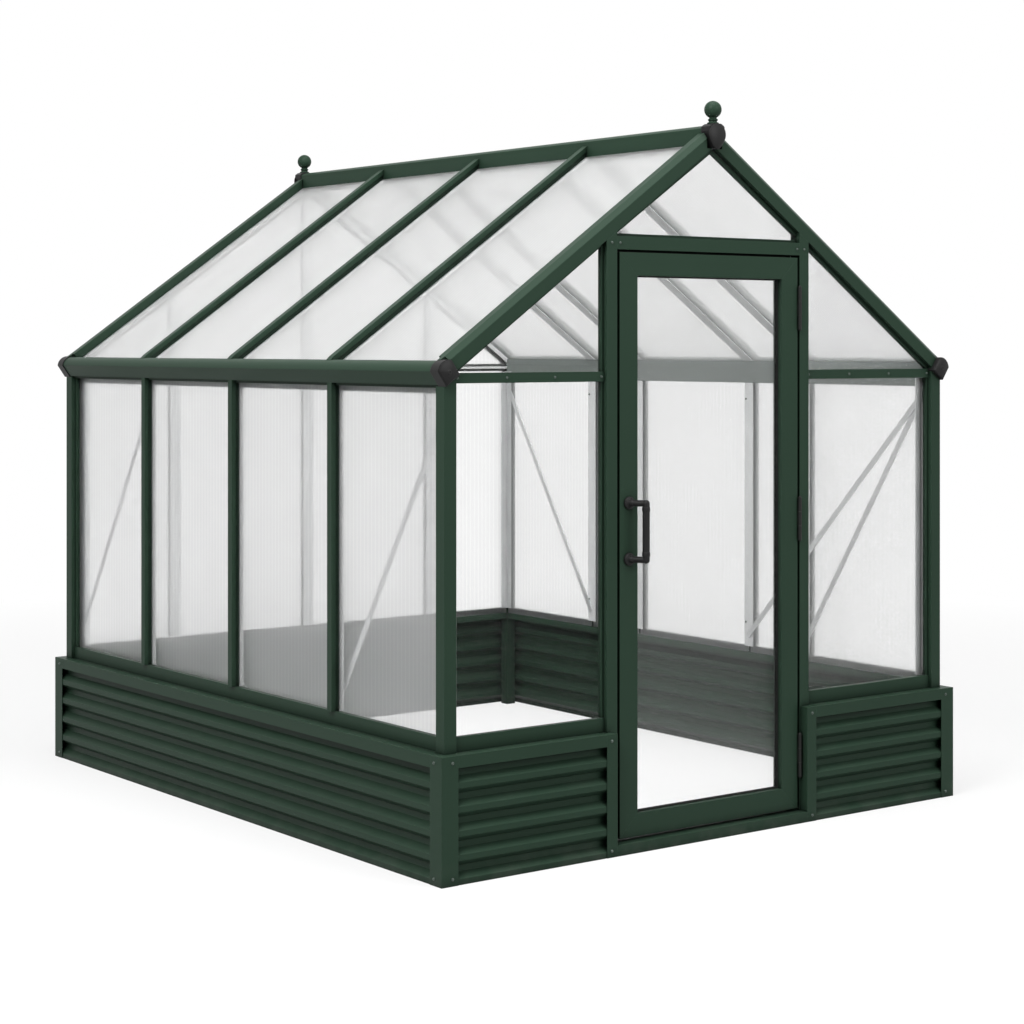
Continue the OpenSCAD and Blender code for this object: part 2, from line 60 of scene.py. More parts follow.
class Slot(str, Enum):
    """Material slots of the record that the added pieces use."""

    PAINT = "painted_frame"
    BLACK = "black_plastic"
    METAL = "bare_metal"
    HINGE = "hinge_metal"


class Axis(Enum):
    """Direction across the flutes of a panel, as a unit vector."""

    X = (1.0, 0.0, 0.0)
    Y = (0.0, 1.0, 0.0)


class Wall(Enum):
    """The four walls, each with its outward direction."""

    LEFT = (-1.0, 0.0, 0.0)
    RIGHT = (1.0, 0.0, 0.0)
    FRONT = (0.0, -1.0, 0.0)
    BACK = (0.0, 1.0, 0.0)

    @property
    def is_side(self) -> bool:
        """Whether the wall runs along the ridge."""
        return self in (Wall.LEFT, Wall.RIGHT)

    @property
    def outward(self) -> Vector:
        """Unit vector out of the wall."""
        return Vector(self.value)

    @property
    def along(self) -> Vector:
        """Unit vector along the wall, towards +Y or +X."""
        return Vector((0, 1, 0)) if self.is_side else Vector((1, 0, 0))


@dataclass(frozen=True)
class Sizes:
    """Sizes of the frame that the fittings follow, in metres and degrees."""

    # Base, walls and their bars
    hw: float = 1.030
    hd: float = 1.220
    base_out: float = 0.031
    base_h: float = 0.368
    post: float = 0.042
    sill_top: float = 0.411
    pane_depth: float = 0.030
    lip_depth: float = 0.012
    bar_face: float = 0.025
    bar_web: float = 0.014
    bar_depth: float = 0.039
    painted: float = 0.0345
    left_bars: tuple[float, ...] = (-0.610, 0.0, 0.610)
    right_bars: tuple[float, ...] = (-0.610, -0.316, 0.316, 0.610)
    back_bars: tuple[float, ...] = (-0.595, 0.0, 0.595)
    # Eaves, gables and roof
    eave_z: float = 1.45195
    eave_out: float = -0.0065
    eave_half: float = 0.026
    dome_centre: float = -0.00323
    dome_r: float = 0.03623
    cap_lip: float = 0.003
    cap_front: float = 1.232
    cap_top: float = 0.008
    bar_n: float = 0.035
    pitch: float = 35.0
    rafter_h: float = 0.052
    ridge_low: float = -0.0702
    tie_h: float = 0.030
    tie_drop: float = 0.032
    plate_drop: float = 0.037
    # Doorway and door
    jamb_w: float = 0.040
    jamb_l: float = -0.394
    jamb_r: float = 0.368
    door_open_h: float = 1.818
    header_h: float = 0.040
    leaf_l: float = -0.384
    leaf_r: float = 0.358
    leaf_low: float = 0.042
    leaf_top: float = 1.810
    stile: float = 0.070

    @property
    def tie_z(self) -> float:
        """Lower edge of the gable tie rails."""
        return self.eave_z - self.tie_drop

    @property
    def plate_z(self) -> float:
        """Lower edge of the wall plate under the eaves."""
        return self.eave_z - self.plate_drop

    @property
    def run(self) -> float:
        """Cosine of the roof's pitch."""
        return math.cos(math.radians(self.pitch))

    @property
    def rise(self) -> float:
        """Sine of the roof's pitch."""
        return math.sin(math.radians(self.pitch))

    @property
    def slope(self) -> float:
        """Rise of the roof over its run."""
        return math.tan(math.radians(self.pitch))

    @property
    def apex(self) -> float:
        """Height at which the two roof planes meet."""
        return self.eave_z + (self.hw + self.eave_out) * self.slope + self.bar_n / self.run

    @property
    def cap_r(self) -> float:
        """Radius of the dome of an eave cap."""
        return self.dome_r + self.cap_lip

    @property
    def jamb_edges(self) -> Span:
        """Outer edges of the left and the right door jamb."""
        return self.jamb_l - self.jamb_w, self.jamb_r + self.jamb_w

    def half(self, wall: Wall) -> float:
        """Half the frame's length along a wall."""
        return self.hd if wall.is_side else self.hw

    def under_rafter(self, x: float) -> float:
        """Height of the rafters' underside at a place across the gable."""
        return self.apex - self.rafter_h / self.run - abs(x) * self.slope

    def on_wall(self, wall: Wall, along: float, depth: float, z: float) -> Vector:
        """A point on a wall.

        Args:
            wall: The wall.
            along: Distance along the wall from its middle.
            depth: Distance inwards from the frame's face.
            z: Height.

        Returns:
            The point in the row frame.
        """
        reach = self.hw if wall.is_side else self.hd
        return wall.outward * (reach - depth) + wall.along * along + UP * z

    def on_roof(self, side: float, up: float, along: float, out: float) -> Vector:
        """A point on a roof slope.

        Args:
            side: -1 for the left slope and 1 for the right one.
            up: Distance up the slope from the eave rail's centre.
            along: Distance along the ridge.
            out: Distance square to the slope.

        Returns:
            The point in the row frame.
        """
        x = -self.hw - self.eave_out + up * self.run - out * self.rise
        return Vector((x if side < 0 else -x, along, self.eave_z + up * self.rise + out * self.run))


class Graph:
    """Small helper that adds and joins shader nodes."""

    def __init__(self, tree: bpy.types.NodeTree) -> None:
        """Wraps a node tree."""
        self.tree = tree

    def add(self, kind: str, inputs: Optional[dict] = None, **props: object) -> bpy.types.Node:
        """Adds a node.

        Args:
            kind: The node's type name.
            inputs: Values or sockets by input name or number.
            props: Properties of the node.

        Returns:
            The new node.
        """
        node = self.tree.nodes.new(kind)
        for name, value in props.items():
            setattr(node, name, value)
        for key, value in (inputs or {}).items():
            self.feed(node.inputs[key], value)
        return node

    def group(self, tree: bpy.types.NodeTree, **values: object) -> bpy.types.Node:
        """Places a shared group; underscores stand for spaces in the names of its inputs."""
        inputs = {name.replace("_", " "): value for name, value in values.items()}
        return self.add("ShaderNodeGroup", inputs, node_tree=tree)

    def feed(self, socket: Socket, value: object) -> None:
        """Links a socket, or sets a plain value on it."""
        if isinstance(value, Socket):
            self.tree.links.new(value, socket)
        else:
            socket.default_value = value

    def maths(self, operation: str, first: object, second: object = 0.0, clamp: bool = False) -> Socket:
        """A Math node's output."""
        node = self.add("ShaderNodeMath", {0: first, 1: second}, operation=operation, use_clamp=clamp)
        return node.outputs[0]

    def span(self, value: object, low: float, high: float, to_low: float = 0.0,
             to_high: float = 1.0) -> Socket:
        """A clamped Map Range node's output."""
        node = self.add("ShaderNodeMapRange", {0: value, 1: low, 2: high, 3: to_low, 4: to_high})
        return node.outputs[0]

    def blend(self, factor: object, first: object, second: object) -> Socket:
        """A colour Mix node's output, from its factor and its two colour sockets."""
        node = self.add("ShaderNodeMix", data_type="RGBA")
        for number, value in ((0, factor), (6, first), (7, second)):
            self.feed(node.inputs[number], value)
        return node.outputs[2]

    def noise(self, vector: object, scale: object, detail: float) -> Socket:
        """A Noise Texture's value."""
        node = self.add("ShaderNodeTexNoise", {"Vector": vector, "Scale": scale, "Detail": detail})
        return node.outputs["Fac"]

    def dot(self, first: object, second: object) -> Socket:
        """The dot product of two vectors."""
        node = self.add("ShaderNodeVectorMath", {0: first, 1: second}, operation="DOT_PRODUCT")
        return node.outputs["Value"]

    def scaled(self, colour: object, factor: object) -> Socket:
        """A colour times a factor."""
        return self.add("ShaderNodeVectorMath", {0: colour, "Scale": factor}, operation="SCALE").outputs[0]

    def coordinates(self) -> Socket:
        """Object coordinates."""
        return self.add("ShaderNodeTexCoord").outputs["Object"]

    def part(self, vector: object, name: str) -> Socket:
        """The X, Y or Z of a vector."""
        return self.add("ShaderNodeSeparateXYZ", {0: vector}).outputs[name]

    def showing(self) -> Socket:
        """Mask of the rays that show the white background, straight, in gloss or through panels."""
        path = self.add("ShaderNodeLightPath")
        seen = self.maths("MAXIMUM", path.outputs["Is Camera Ray"], path.outputs["Is Glossy Ray"])
        return self.maths("MAXIMUM", seen, path.outputs["Is Transmission Ray"])


class SharedGroups:
    """The shader node groups that several finishes place, each built once."""

    rays: int = 4

    def __init__(self) -> None:
        """Builds the groups."""
        self.variation = self._variation()
        self.edge = self._rounded_edge_highlight()
        self.flutes = self._flutes()
        self.inside = self._inside()
        self.settled = self._settled()
        self.painted_crevice_shade = self._painted_crevice_shade()

    @staticmethod
    def _start(name: str, inputs: dict[str, object], outputs: Sequence[str],
               ) -> tuple[Graph, bpy.types.NodeOutputs, bpy.types.NodeInputs]:
        """Starts a group with named sockets.

        Args:
            name: The group's name.
            inputs: Default of each input, a number or a vector.
            outputs: Name of each output; Normal is a vector and the others are numbers.

        Returns:
            The graph, the sockets that its inputs give and the sockets that its outputs take.
        """
        tree = bpy.data.node_groups.new(name, "ShaderNodeTree")
        for label, default in inputs.items():
            kind = "NodeSocketVector" if isinstance(default, tuple) else "NodeSocketFloat"
            tree.interface.new_socket(label, in_out="INPUT", socket_type=kind).default_value = default
        for label in outputs:
            kind = "NodeSocketVector" if label == "Normal" else "NodeSocketFloat"
            tree.interface.new_socket(label, in_out="OUTPUT", socket_type=kind)
        graph = Graph(tree)
        return graph, graph.add("NodeGroupInput").outputs, graph.add("NodeGroupOutput").inputs

    def _variation(self) -> bpy.types.NodeTree:
        """Slow and fine unevenness of a coated surface."""
        slow_share, detail, middle = 0.7, 2.0, 0.5
        graph, given, put = self._start(
            "SurfaceVariation", {"Slow Scale": 3.0, "Fine Scale": 400.0, "Amount": 0.1, "Roughness": 0.4},
            ["Shade", "Roughness", "Height"])
        place = graph.coordinates()
        slow = graph.noise(place, given["Slow Scale"], detail)
        fine = graph.noise(place, given["Fine Scale"], detail)
        both = graph.maths("ADD", graph.maths("MULTIPLY", slow, slow_share),
                           graph.maths("MULTIPLY", fine, 1.0 - slow_share))
        swing = graph.maths("MULTIPLY", graph.maths("SUBTRACT", both, middle), given["Amount"])
        graph.feed(put["Shade"], graph.maths("ADD", graph.maths("MULTIPLY", swing, 2.0), 1.0))
        graph.feed(put["Roughness"], graph.maths("ADD", given["Roughness"], swing, True))
        graph.feed(put["Height"], fine)
        return graph.tree

    def _rounded_edge_highlight(self) -> bpy.types.NodeTree:
        """Rounded normal, and a mask of the edges for a painted highlight."""
        no_turn, full_turn = 0.995, 0.80
        graph, given, put = self._start("RoundedEdgeHighlight", {"Radius": 0.002}, ["Mask", "Normal"])
        bevel = graph.add("ShaderNodeBevel", {"Radius": given["Radius"]}, samples=self.rays).outputs[0]
        flat = graph.add("ShaderNodeNewGeometry").outputs["Normal"]
        graph.feed(put["Mask"], graph.span(graph.dot(bevel, flat), no_turn, full_turn))
        graph.feed(put["Normal"], bevel)
        return graph.tree

    def _flutes(self) -> bpy.types.NodeTree:
        """The webs of a twin-wall panel, as lines across one direction, and slow clouding."""
        steepness, cloud_scale, cloud_detail = 9.0, 1.7, 2.0
        graph, given, put = self._start(
            "TwinWallFlutes", {"Across": Axis.X.value, "Pitch": 0.0105, "Width": 0.3}, ["Web", "Cloud"])
        place = graph.coordinates()
        turn = graph.maths("FRACT", graph.maths("DIVIDE", graph.dot(place, given["Across"]), given["Pitch"]))
        away = graph.maths("ABSOLUTE", graph.maths("SUBTRACT", turn, 0.5))
        edge = graph.maths("SUBTRACT", 0.5, graph.maths("MULTIPLY", given["Width"], 0.5))
        web = graph.maths("MULTIPLY", graph.maths("SUBTRACT", away, edge), steepness, True)
        graph.feed(put["Web"], web)
        graph.feed(put["Cloud"], graph.noise(place, cloud_scale, cloud_detail))
        return graph.tree

    def _inside(self) -> bpy.types.NodeTree:
        """Mask of what lies behind a plane on either side, for a bar's bare inner flange."""
        graph, given, put = self._start("BehindPlane", {"Outward": tuple(UP), "Offset": 0.0}, ["Mask"])
        place = graph.coordinates()
        either = graph.add("ShaderNodeVectorMath", {0: place}, operation="ABSOLUTE").outputs[0]
        reach = graph.dot(either, given["Outward"])
        graph.feed(put["Mask"], graph.maths("LESS_THAN", reach, given["Offset"]))
        return graph.tree

    def _painted_crevice_shade(self) -> bpy.types.NodeTree:
        """Painted shade: darker tone in grooves, undercuts and joints, where less light reaches."""
        closed, clear = 0.25, 0.92
        graph, given, put = self._start("PaintedCreviceShade", {"Reach": 0.03, "Floor": 0.4}, ["Shade"])
        free = graph.add("ShaderNodeAmbientOcclusion", {"Distance": given["Reach"]}, samples=self.rays)
        risen = graph.span(free.outputs["AO"], closed, clear)
        kept = graph.maths("MULTIPLY", risen, graph.maths("SUBTRACT", 1.0, given["Floor"]))
        graph.feed(put["Shade"], graph.maths("ADD", kept, given["Floor"]))
        return graph.tree

    def _settled(self) -> bpy.types.NodeTree:
        """Thin dust on faces that look up, and near the ground."""
        steep, level, top_share = 0.6, 1.0, 0.5
        patch_scale, patch_detail, bare, covered = 14.0, 4.0, 0.42, 0.72
        graph, given, put = self._start("SettledDust", {"Height": 0.08, "Amount": 0.2}, ["Mask"])
        place = graph.coordinates()
        height = graph.part(place, "Z")
        up = graph.part(graph.add("ShaderNodeNewGeometry").outputs["Normal"], "Z")
        low = graph.maths("SUBTRACT", 1.0, graph.maths("DIVIDE", height, given["Height"]), True)
        top = graph.span(up, steep, level, 0.0, top_share)
        patch = graph.span(graph.noise(place, patch_scale, patch_detail), bare, covered)
        both = graph.maths("MULTIPLY", graph.maths("MAXIMUM", low, top), patch)
        graph.feed(put["Mask"], graph.maths("MULTIPLY", both, given["Amount"]))
        return graph.tree


def rgba(colour: Sequence[float], shade: float = 1.0) -> tuple[float, float, float, float]:
    """A colour as four numbers, scaled by a shade."""
    return (colour[0] * shade, colour[1] * shade, colour[2] * shade, 1.0)


@dataclass(frozen=True)
class WearAndHighlight:
    """Unevenness of a surface, and the width and lift of a painted highlight along its edges."""

    slow: float
    fine: float
    amount: float
    edge: float
    lift: float
    bump: float = 0.0
    grain_depth: float = 0.0004


# Lift scales the colour on the edges: a painted highlight.
SATIN = WearAndHighlight(slow=2.4, fine=520.0, amount=0.10, edge=0.0022, lift=1.55, bump=0.03)
MOULDED = WearAndHighlight(slow=5.0, fine=900.0, amount=0.16, edge=0.0016, lift=1.8, bump=0.08)
DRAWN = WearAndHighlight(slow=6.0, fine=260.0, amount=0.18, edge=0.0012, lift=1.15)


class Finish:
    """Base of the finishes: starts a material, adds unevenness and a painted edge highlight most of them
    share.
    """

    @staticmethod
    def start(name: str) -> tuple[bpy.types.Material, Graph, bpy.types.Node]:
        """Starts a material.

        Args:
            name: The material's name.

        Returns:
            The material, its graph and its Principled BSDF.
        """
        material = bpy.data.materials.new(name)
        material.use_nodes = True
        graph = Graph(material.node_tree)
        graph.tree.nodes.clear()
        shader = graph.add("ShaderNodeBsdfPrincipled")
        graph.add("ShaderNodeOutputMaterial", {"Surface": shader.outputs[0]})
        return material, graph, shader

    @staticmethod
    def worn_and_highlighted(groups: SharedGroups, graph: Graph, shader: bpy.types.Node, wear_and_highlight: WearAndHighlight, colour: Triple,
             roughness: float) -> tuple[Socket, Socket]:
        """Gives a shader uneven roughness, rounded edges and a painted highlight on them.

        Args:
            groups: The shared groups.
            graph: The material's graph.
            shader: Its Principled BSDF.
            wear_and_highlight: How uneven the surface is, and the lift of its painted edge highlight.
            colour: The plain colour.
            roughness: The mean roughness.

        Returns:
            The colour with a painted highlight on its edges, and the shade that it is to be scaled by.
        """
        vary = graph.group(groups.variation, Slow_Scale=wear_and_highlight.slow, Fine_Scale=wear_and_highlight.fine,
                           Amount=wear_and_highlight.amount, Roughness=roughness)
        edge = graph.group(groups.edge, Radius=wear_and_highlight.edge)
        normal = edge.outputs["Normal"]
        if wear_and_highlight.bump > 0.0:
            normal = graph.add("ShaderNodeBump", {
                "Strength": wear_and_highlight.bump, "Distance": wear_and_highlight.grain_depth, "Height": vary.outputs["Height"],
                "Normal": normal}).outputs[0]
        graph.feed(shader.inputs["Roughness"], vary.outputs["Roughness"])
        graph.feed(shader.inputs["Normal"], normal)
        # Painted highlight: the edges get the colour times the lift.
        tone = graph.blend(edge.outputs["Mask"], rgba(colour), rgba(colour, wear_and_highlight.lift))
        return tone, vary.outputs["Shade"]


@dataclass(frozen=True)
class PaintFinish(Finish):
    """Satin paint with a painted highlight on its edges, painted shade in its grooves and a trace of dust."""

    name: str
    colour: Triple
    roughness: float = 0.42
    ior: float = 1.45
    specular: float = 0.10
    painted_shade_reach: float = 0.035
    painted_shade_floor: float = 0.2
    dust: float = 0.10
    dust_h: float = 0.07
    dust_colour: Triple = (0.20, 0.20, 0.18)

    def coat(self, groups: SharedGroups, graph: Graph, shader: bpy.types.Node) -> Socket:
        """Adds the coat to a material.

        Args:
            groups: The shared groups.
            graph: The material's graph.
            shader: Its Principled BSDF.

        Returns:
            The coat's colour.
        """
        tone, shade = self.worn_and_highlighted(groups, graph, shader, SATIN, self.colour, self.roughness)
        # Painted shade from ambient occlusion in grooves, undercuts and joints.
        painted_crevice_shade = graph.group(groups.painted_crevice_shade, Reach=self.painted_shade_reach, Floor=self.painted_shade_floor)
        dust = graph.group(groups.settled, Height=self.dust_h, Amount=self.dust)
        clean = graph.scaled(tone, graph.maths("MULTIPLY", shade, painted_crevice_shade.outputs["Shade"]))
        return graph.blend(dust.outputs["Mask"], clean, rgba(self.dust_colour))

    def build(self, groups: SharedGroups) -> bpy.types.Material:
        """The material."""
        material, graph, shader = self.start(self.name)
        graph.feed(shader.inputs["Base Color"], self.coat(groups, graph, shader))
        shader.inputs["IOR"].default_value = self.ior
        shader.inputs["Specular IOR Level"].default_value = self.specular
        return material


@dataclass(frozen=True)
class BarFinish(PaintFinish):
    """Paint outside and bare metal on the flange that lies behind all of some planes."""

    planes: tuple[Plane, ...] = ()
    bare: Triple = (0.66, 0.67, 0.67)

    def coat(self, groups: SharedGroups, graph: Graph, shader: bpy.types.Node) -> Socket:
        """Adds the coat and the bare flange to a material.

        Args:
            groups: The shared groups.
            graph: The material's graph.
            shader: Its Principled BSDF.

        Returns:
            The colour of both.
        """
        coat = super().coat(groups, graph, shader)
        masks = [graph.group(groups.inside, Outward=outward, Offset=offset).outputs["Mask"]
                 for outward, offset in self.planes]
        behind = masks[0]
        for mask in masks[1:]:
            behind = graph.maths("MULTIPLY", behind, mask)
        return graph.blend(behind, coat, rgba(self.bare))


@dataclass(frozen=True)
class GlazingFinish(Finish):
    """Twin-wall panel: clear skins with milky webs between them."""

    name: str
    across: Axis
    milk: float
    web: float
    pitch: float = 0.0105
    tone: float = 0.90
    haze: float = 0.0
    haze_span: Span = (0.25, 0.45)
    web_share: float = 0.34
    cloud_span: Span = (0.3, 0.7)
    cloud_swing: float = 0.08
    glance_blend: float = 0.35
    glance_share: float = 0.5
    tint: Triple = (1.0, 1.004, 1.004)
    roughness: float = 0.55
    ior: float = 1.42
    transmission: float = 0.92

    def build(self, groups: SharedGroups) -> bpy.types.Material:
        """The material."""
        material, graph, shader = self.start(self.name)
        flutes = graph.group(groups.flutes, Across=self.across.value, Pitch=self.pitch, Width=self.web_share)
        cloud = graph.span(flutes.outputs["Cloud"], *self.cloud_span,
                           self.milk * (1.0 - self.cloud_swing), self.milk * (1.0 + self.cloud_swing))
        if self.haze > 0.0:
            right = graph.part(graph.coordinates(), "X")
            cloud = graph.maths("ADD", cloud, graph.span(right, *self.haze_span, 0.0, self.haze))
        webbed = graph.maths("MULTIPLY", flutes.outputs["Web"], self.web)
        facing = graph.add("ShaderNodeLayerWeight", {"Blend": self.glance_blend}).outputs["Facing"]
        glance = graph.maths("MULTIPLY", facing, self.milk * self.glance_share)
        total = graph.maths("ADD", graph.maths("ADD", cloud, webbed), glance, True)
        graph.feed(shader.inputs["Alpha"], total)
        shader.inputs["Base Color"].default_value = rgba(self.tint, self.tone)
        shader.inputs["Roughness"].default_value = self.roughness
        shader.inputs["IOR"].default_value = self.ior
        shader.inputs["Transmission Weight"].default_value = self.transmission
        material.use_backface_culling = False
        return material


@dataclass(frozen=True)
class PlasticFinish(Finish):
    """Moulded plastic or rubber with a fine grain."""

    name: str
    colour: Triple
    roughness: float
    wear_and_highlight: WearAndHighlight = MOULDED
    ior: float = 1.46
    specular: float = 0.20

    def build(self, groups: SharedGroups) -> bpy.types.Material:
        """The material."""
        material, graph, shader = self.start(self.name)
        tone, shade = self.worn_and_highlighted(groups, graph, shader, self.wear_and_highlight, self.colour, self.roughness)
        graph.feed(shader.inputs["Base Color"], graph.scaled(tone, shade))
        shader.inputs["IOR"].default_value = self.ior
        shader.inputs["Specular IOR Level"].default_value = self.specular
        return material


@dataclass(frozen=True)
class MetalFinish(Finish):
    """Dull bare metal with a drawn grain."""

    name: str
    colour: Triple
    roughness: float
    metallic: float = 1.0

    def build(self, groups: SharedGroups) -> bpy.types.Material:
        """The material."""
        material, graph, shader = self.start(self.name)
        tone, shade = self.worn_and_highlighted(groups, graph, shader, DRAWN, self.colour, self.roughness)
        graph.feed(shader.inputs["Base Color"], graph.scaled(tone, shade))
        shader.inputs["Metallic"].default_value = self.metallic
        return material


@dataclass(frozen=True)
class FloorFinish(Finish):
    """White studio floor that keeps a soft shadow near the object."""

    name: str
    near: float = 2.2
    far: float = 6.0
    share: float = 0.26
    bounce: float = 0.34
    shown: float = 0.88
    roughness: float = 0.8
    specular: float = 0.1

    def build(self, groups: SharedGroups) -> bpy.types.Material:
        """The material."""
        material, graph, shader = self.start(self.name)
        vary = graph.group(groups.variation, Slow_Scale=0.7, Fine_Scale=60.0, Amount=0.02,
                           Roughness=self.roughness)
        graph.feed(shader.inputs["Roughness"], vary.outputs["Roughness"])
        shader.inputs["Specular IOR Level"].default_value = self.specular
        place = graph.coordinates()
        away = graph.add("ShaderNodeVectorMath", {0: place}, operation="LENGTH").outputs["Value"]
        white = graph.span(away, self.near, self.far, 1.0 - self.share, 1.0)
        seen = graph.showing()
        tone = graph.blend(seen, rgba(WHITE, self.bounce), rgba(WHITE, self.shown))
        graph.feed(shader.inputs["Base Color"], tone)
        glow = graph.add("ShaderNodeEmission", {"Color": rgba(WHITE), "Strength": 1.0})
        mix = graph.add("ShaderNodeMixShader", {
            0: graph.maths("MULTIPLY", seen, white), 1: shader.outputs[0], 2: glow.outputs[0]})
        output = next(node for node in graph.tree.nodes if node.type == "OUTPUT_MATERIAL")
        graph.feed(output.inputs["Surface"], mix.outputs[0])
        return material


def circle(radius: float, sides: int, height: float = 0.0) -> list[Vector]:
    """Points round the Z axis at a height."""
    angles = (2 * math.pi * k / sides for k in range(sides))
    return [Vector((radius * math.cos(angle), radius * math.sin(angle), height)) for angle in angles]


class MeshMaker:
    """Collects simple forms into one mesh."""

    # A pan head screw on a washer, with a dimple: share of its radius, and height in metres
    screw_head: Profile = ((1.35, 0.0), (1.35, 0.0013), (1.30, 0.0016), (1.0, 0.0017), (1.0, 0.0030),
                           (0.86, 0.0041), (0.52, 0.0047), (0.36, 0.0046), (0.30, 0.0028))
    screw_sides: int = 14
    screw_sunk: float = 0.0005

    def __init__(self) -> None:
        """Starts with no points."""
        self.points: list[Vector] = []
        self.faces: list[list[int]] = []

    def add(self, points: Iterable[Vector], faces: Iterable[Sequence[int]]) -> None:
        """Adds points and the faces between them."""
        start = len(self.points)
        self.points.extend(Vector(p) for p in points)
        self.faces.extend([i + start for i in f] for f in faces)

    def loft(self, rings: Sequence[Sequence[Vector]]) -> None:
        """A closed form through rings of equally many points, with flat ends."""
        count, last = len(rings[0]), len(rings) - 1
        faces = []
        for low in range(0, last * count, count):
            high = low + count
            faces += [[low + k, low + (k + 1) % count, high + (k + 1) % count, high + k]
                      for k in range(count)]
        faces += [list(range(count))[::-1], [last * count + k for k in range(count)]]
        self.add([point for ring in rings for point in ring], faces)

    def bar(self, corners: Sequence[Vector], chamfer: float) -> None:
        """A six-sided bar from its eight corners, four at one end and four at the other.

        Args:
            corners: Four corners in turn at one end, and the four that match them at the other.
            chamfer: Size of the bevel along the long edges.
        """
        rings = []
        for end in (corners[:4], corners[4:]):
            ring = []
            for i in range(4):
                here, back, ahead = end[i], end[i - 1], end[(i + 1) % 4]
                ring.append(here + (back - here).normalized() * chamfer)
                ring.append(here + (ahead - here).normalized() * chamfer)
            rings.append(ring)
        self.loft(rings)

    def turned(self, base: Vector, axis: Vector, profile: Profile, sides: int) -> None:
        """A turned form.

        Args:
            base: Point on the axis from which heights are measured.
            axis: Direction of the axis.
            profile: Radius and height of each ring, from the base up.
            sides: Number of sides.
        """
        turn = axis.normalized().to_track_quat("Z", "Y").to_matrix()
        self.loft([[base + turn @ point for point in circle(radius, sides, height)]
                   for radius, height in profile])

    def screw(self, base: Vector, outward: Vector, radius: float = 0.0036) -> None:
        """A pan head screw on a washer, with a dimple for the driver."""
        profile = [(share * radius, height) for share, height in self.screw_head]
        self.turned(base - outward * self.screw_sunk, outward, profile, self.screw_sides)

    def plate(self, outline: Sequence[Vector], inner: Sequence[Vector], lift: Vector,
              inner_lift: Vector) -> None:
        """A plate with a sloped rim: outline at the back, outline lifted, then a smaller face lifted more."""
        self.loft([outline, [p + lift for p in outline], [p + inner_lift for p in inner]])

    def made(self, name: str, material: bpy.types.Material, smooth: float = 38.0) -> bpy.types.Object:
        """Makes the object.

        Args:
            name: Its name.
            material: Its material.
            smooth: Angle in degrees below which edges are shaded smooth.

        Returns:
            The object, linked to the scene.
        """
        mesh = bpy.data.meshes.new(name)
        mesh.from_pydata([tuple(p) for p in self.points], [], self.faces)
        mesh.validate()
        shape = bmesh.new()
        shape.from_mesh(mesh)
        bmesh.ops.recalc_face_normals(shape, faces=shape.faces)
        shape.to_mesh(mesh)
        shape.free()
        mesh.polygons.foreach_set("use_smooth", [True] * len(mesh.polygons))
        mesh.set_sharp_from_angle(angle=math.radians(smooth))
        mesh.materials.append(material)
        made = bpy.data.objects.new(name, mesh)
        bpy.context.scene.collection.objects.link(made)
        return made


@dataclass
class Palette:
    """All finishes as materials, by name."""

    sizes: Sizes
    groups: SharedGroups
    green: Triple = (0.022, 0.045, 0.029)
    made: dict[str, bpy.types.Material] = field(default_factory=dict)

    def finishes(self) -> dict[str, Finish]:
        """The finishes, by the name that the sub-assemblies use."""
        return {
            "paint": PaintFinish("satin_green", self.green),
            "side_glass": GlazingFinish(
                "side_twinwall", Axis.Y, milk=0.285, web=0.025, pitch=0.020, tone=0.98),
            "roof_glass": GlazingFinish(
                "roof_twinwall", Axis.Y, milk=0.42, web=0.03, pitch=0.016, tone=0.95),
            "back_glass": GlazingFinish(
                "back_twinwall", Axis.X, milk=0.32, web=0.03, pitch=0.020, tone=0.95),
            "front_glass": GlazingFinish("front_twinwall", Axis.X, milk=0.006, web=0.03, haze=0.11),
            "door_glass": GlazingFinish("door_twinwall", Axis.X, milk=0.06, web=0.05),
            "black": PlasticFinish("black_plastic", (0.011, 0.011, 0.011), 0.46),
            "hinge": PlasticFinish("black_hinge", (0.012, 0.013, 0.012), 0.45, replace(MOULDED, fine=600.0)),
            "rubber": PlasticFinish("seal_rubber", (0.010, 0.011, 0.010), 0.7),
            "metal": MetalFinish("mill_aluminium", (0.60, 0.61, 0.61), 0.46),
            "zinc": MetalFinish("screw_heads", (0.10, 0.125, 0.11), 0.38),
            **self.bar_finishes(),
        }

    def bar_finishes(self) -> dict[str, Finish]:
        """The finishes of the bars, painted only as deep as the panels, by name."""
        s = self.sizes
        eave = Vector((s.hw + s.eave_out, 0.0, s.eave_z))
        roof_up = Vector((s.rise, 0.0, s.run))
        side = (Axis.X.value, s.hw - s.painted)
        end = (Axis.Y.value, s.hd - s.painted)
        roof = (tuple(roof_up), eave.dot(roof_up) + s.bar_n - s.painted)
        bars = {"side_bar": (side,), "end_bar": (end,), "roof_bar": (roof,), "rafter_bar": (end, roof)}
        found = {name: BarFinish(name, self.green, planes=planes) for name, planes in bars.items()}
        # Painted shade: the eave rail's inner flange is a dark grey, a shaded copy of the bare metal.
        found["eave_bar_painted_shade"] = BarFinish("eave_bar_painted_shade", self.green, planes=(side,), bare=(0.17, 0.19, 0.18))
        return found

    def build(self) -> None:
        """Builds every material."""
        for name, finish in self.finishes().items():
            self.made[name] = finish.build(self.groups)

    def __getitem__(self, name: str) -> bpy.types.Material:
        """A material by name."""
        return self.made[name]


